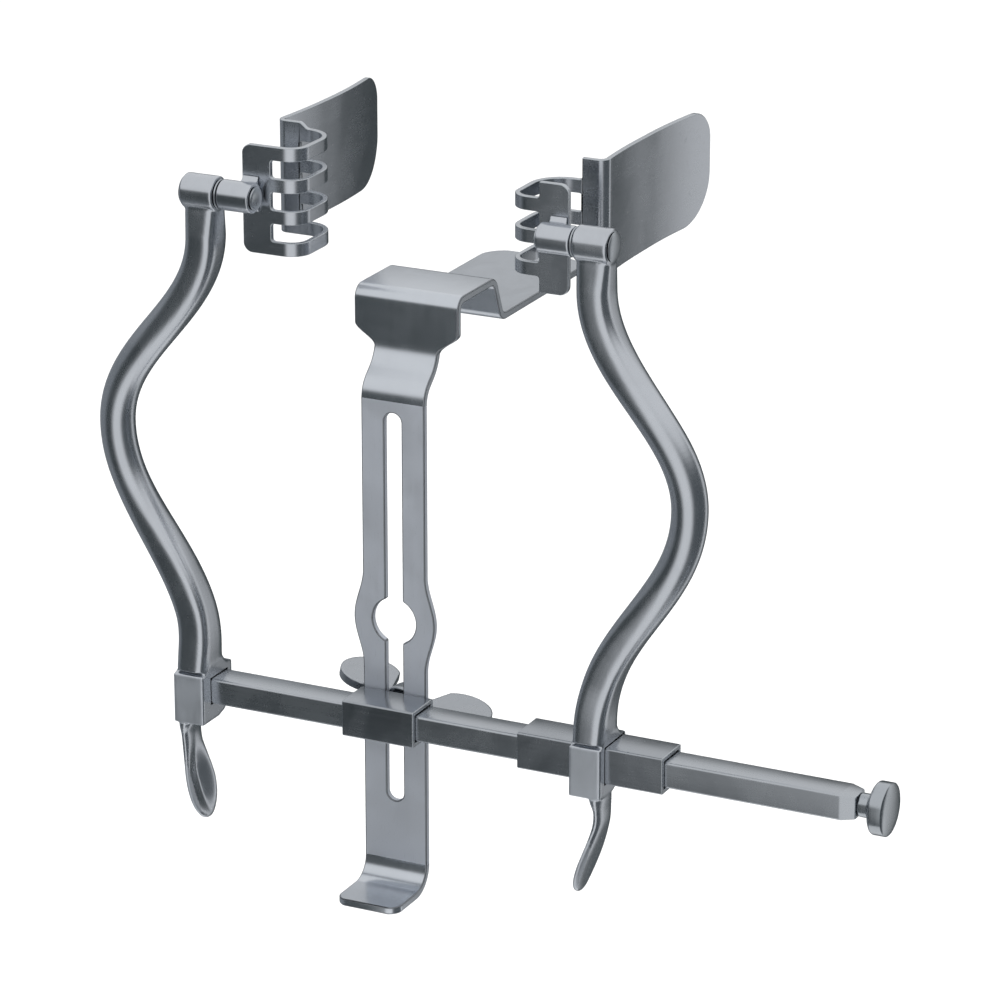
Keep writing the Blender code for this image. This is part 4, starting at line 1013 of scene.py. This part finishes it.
def makeCloth(size):
    material, tree = newMaterial(size["name"] + "Cloth")
    tree.nodes.clear()
    reach = size["reach"]
    place = addNode(tree, "TexCoord").outputs["Object"]
    centred = addNode(tree, "VectorMath", {"operation": "SUBTRACT"}, _0=place, _1=stage["centre"])
    turned = addNode(tree, "VectorRotate", {"rotation_type": "Z_AXIS"}, Vector=centred.outputs[0],
                     Angle=-size["middle"])
    parts = addNode(tree, "SeparateXYZ", Vector=turned.outputs[0]).outputs
    around = addMath(tree, "ARCTAN2", parts["Y"], parts["X"])
    opening = addRange(tree, around, -reach, size["softStart"] - reach)
    closing = addRange(tree, around, reach, reach - size["softEnd"])
    edge = addRange(tree, around, *bands["top"], To_Min=size["backTop"], To_Max=size["frontTop"])
    hem = addRange(tree, addMath(tree, "SUBTRACT", parts["Z"], edge), -size["fade"], 0.0,
                   To_Min=size["cover"], To_Max=0.0)
    mask = addMath(tree, "MULTIPLY", addMath(tree, "MULTIPLY", opening, closing), hem)
    depth = addRange(tree, parts["Z"], *bands["low"], "LINEAR")
    shade = mixColours(tree, depth, size["grey"] + (1.0,), size["lowGrey"] + (1.0,))
    behind = addMath(tree, "MULTIPLY", addRange(tree, around, *bands["paleStart"]),
                     addRange(tree, around, *bands["paleEnd"]))
    tone = mixColours(tree, behind, shade, size["pale"] + (1.0,))
    clear = addNode(tree, "BsdfTransparent")
    dark = addNode(tree, "Emission", Color=tone)
    mixed = addNode(tree, "MixShader", _0=mask, _1=clear.outputs[0], _2=dark.outputs[0])
    addNode(tree, "OutputMaterial", Surface=mixed.outputs[0])
    return material


def makeCurtain(size):
    bm = bmesh.new()
    start = size["middle"] - size["reach"]
    side = Vector((cos(start), sin(start), 0)) * size["radius"]
    rise = size["top"] - size["bottom"]
    row = [bm.verts.new(side + axisZ * (size["bottom"] + rise * i / 8)) for i in range(9)]
    edges = [bm.edges.new(pair) for pair in zip(row, row[1:])]
    ops.spin(bm, geom=row + edges, cent=(0, 0, 0), axis=axisZ, angle=2 * size["reach"], steps=64)
    ops.translate(bm, verts=bm.verts, vec=stage["centre"])
    curtain = makePiece(size["name"], bm, sharp=0)
    curtain.data.materials.append(makeCloth(size))
    for ray in ("camera", "diffuse", "shadow", "transmission", "volume_scatter"):
        setattr(curtain, "visible_" + ray, False)


def makeLamp(name, direction, distance, width, height, watts):
    data = bpy.data.lights.new(name, "AREA")
    data.shape, data.size, data.size_y, data.energy = "RECTANGLE", width, height, watts
    lamp = bpy.data.objects.new(name, data)
    bpy.context.collection.objects.link(lamp)
    position = Vector(stage["centre"]) + Vector(direction).normalized() * distance
    lamp.matrix_world = aimed(position, stage["centre"])
    lamp.visible_glossy = False


view = {
    "azimuth": 26.0, "elevation": 19.3, "distance": 1.340, "target": (0.1034, 0.0, 0.0733),
    "lens": 168.84, "sensor": 36.0,
}


def makeCamera():
    data = bpy.data.cameras.new("photoCamera")
    data.lens, data.sensor_fit = view["lens"], "HORIZONTAL"
    data.sensor_width = data.sensor_height = view["sensor"]
    data.clip_start, data.clip_end = 0.01, 50.0
    camera = bpy.data.objects.new("photoCamera", data)
    bpy.context.collection.objects.link(camera)
    a, e = radians(view["azimuth"]), radians(view["elevation"])
    back = Vector((sin(a) * cos(e), -cos(a) * cos(e), sin(e)))
    camera.matrix_world = aimed(Vector(view["target"]) + back * view["distance"], view["target"])
    bpy.context.scene.camera = camera


makeFloor()
makeWorld()
for lamp in lamps:
    makeLamp(*lamp)
makeCurtain(leftCurtain)
makeCurtain(rightCurtain)
makeCamera()
bpy.context.scene.view_settings.view_transform = "Standard"
print("stage, lamps and camera set")

bpy.context.view_layer.update()
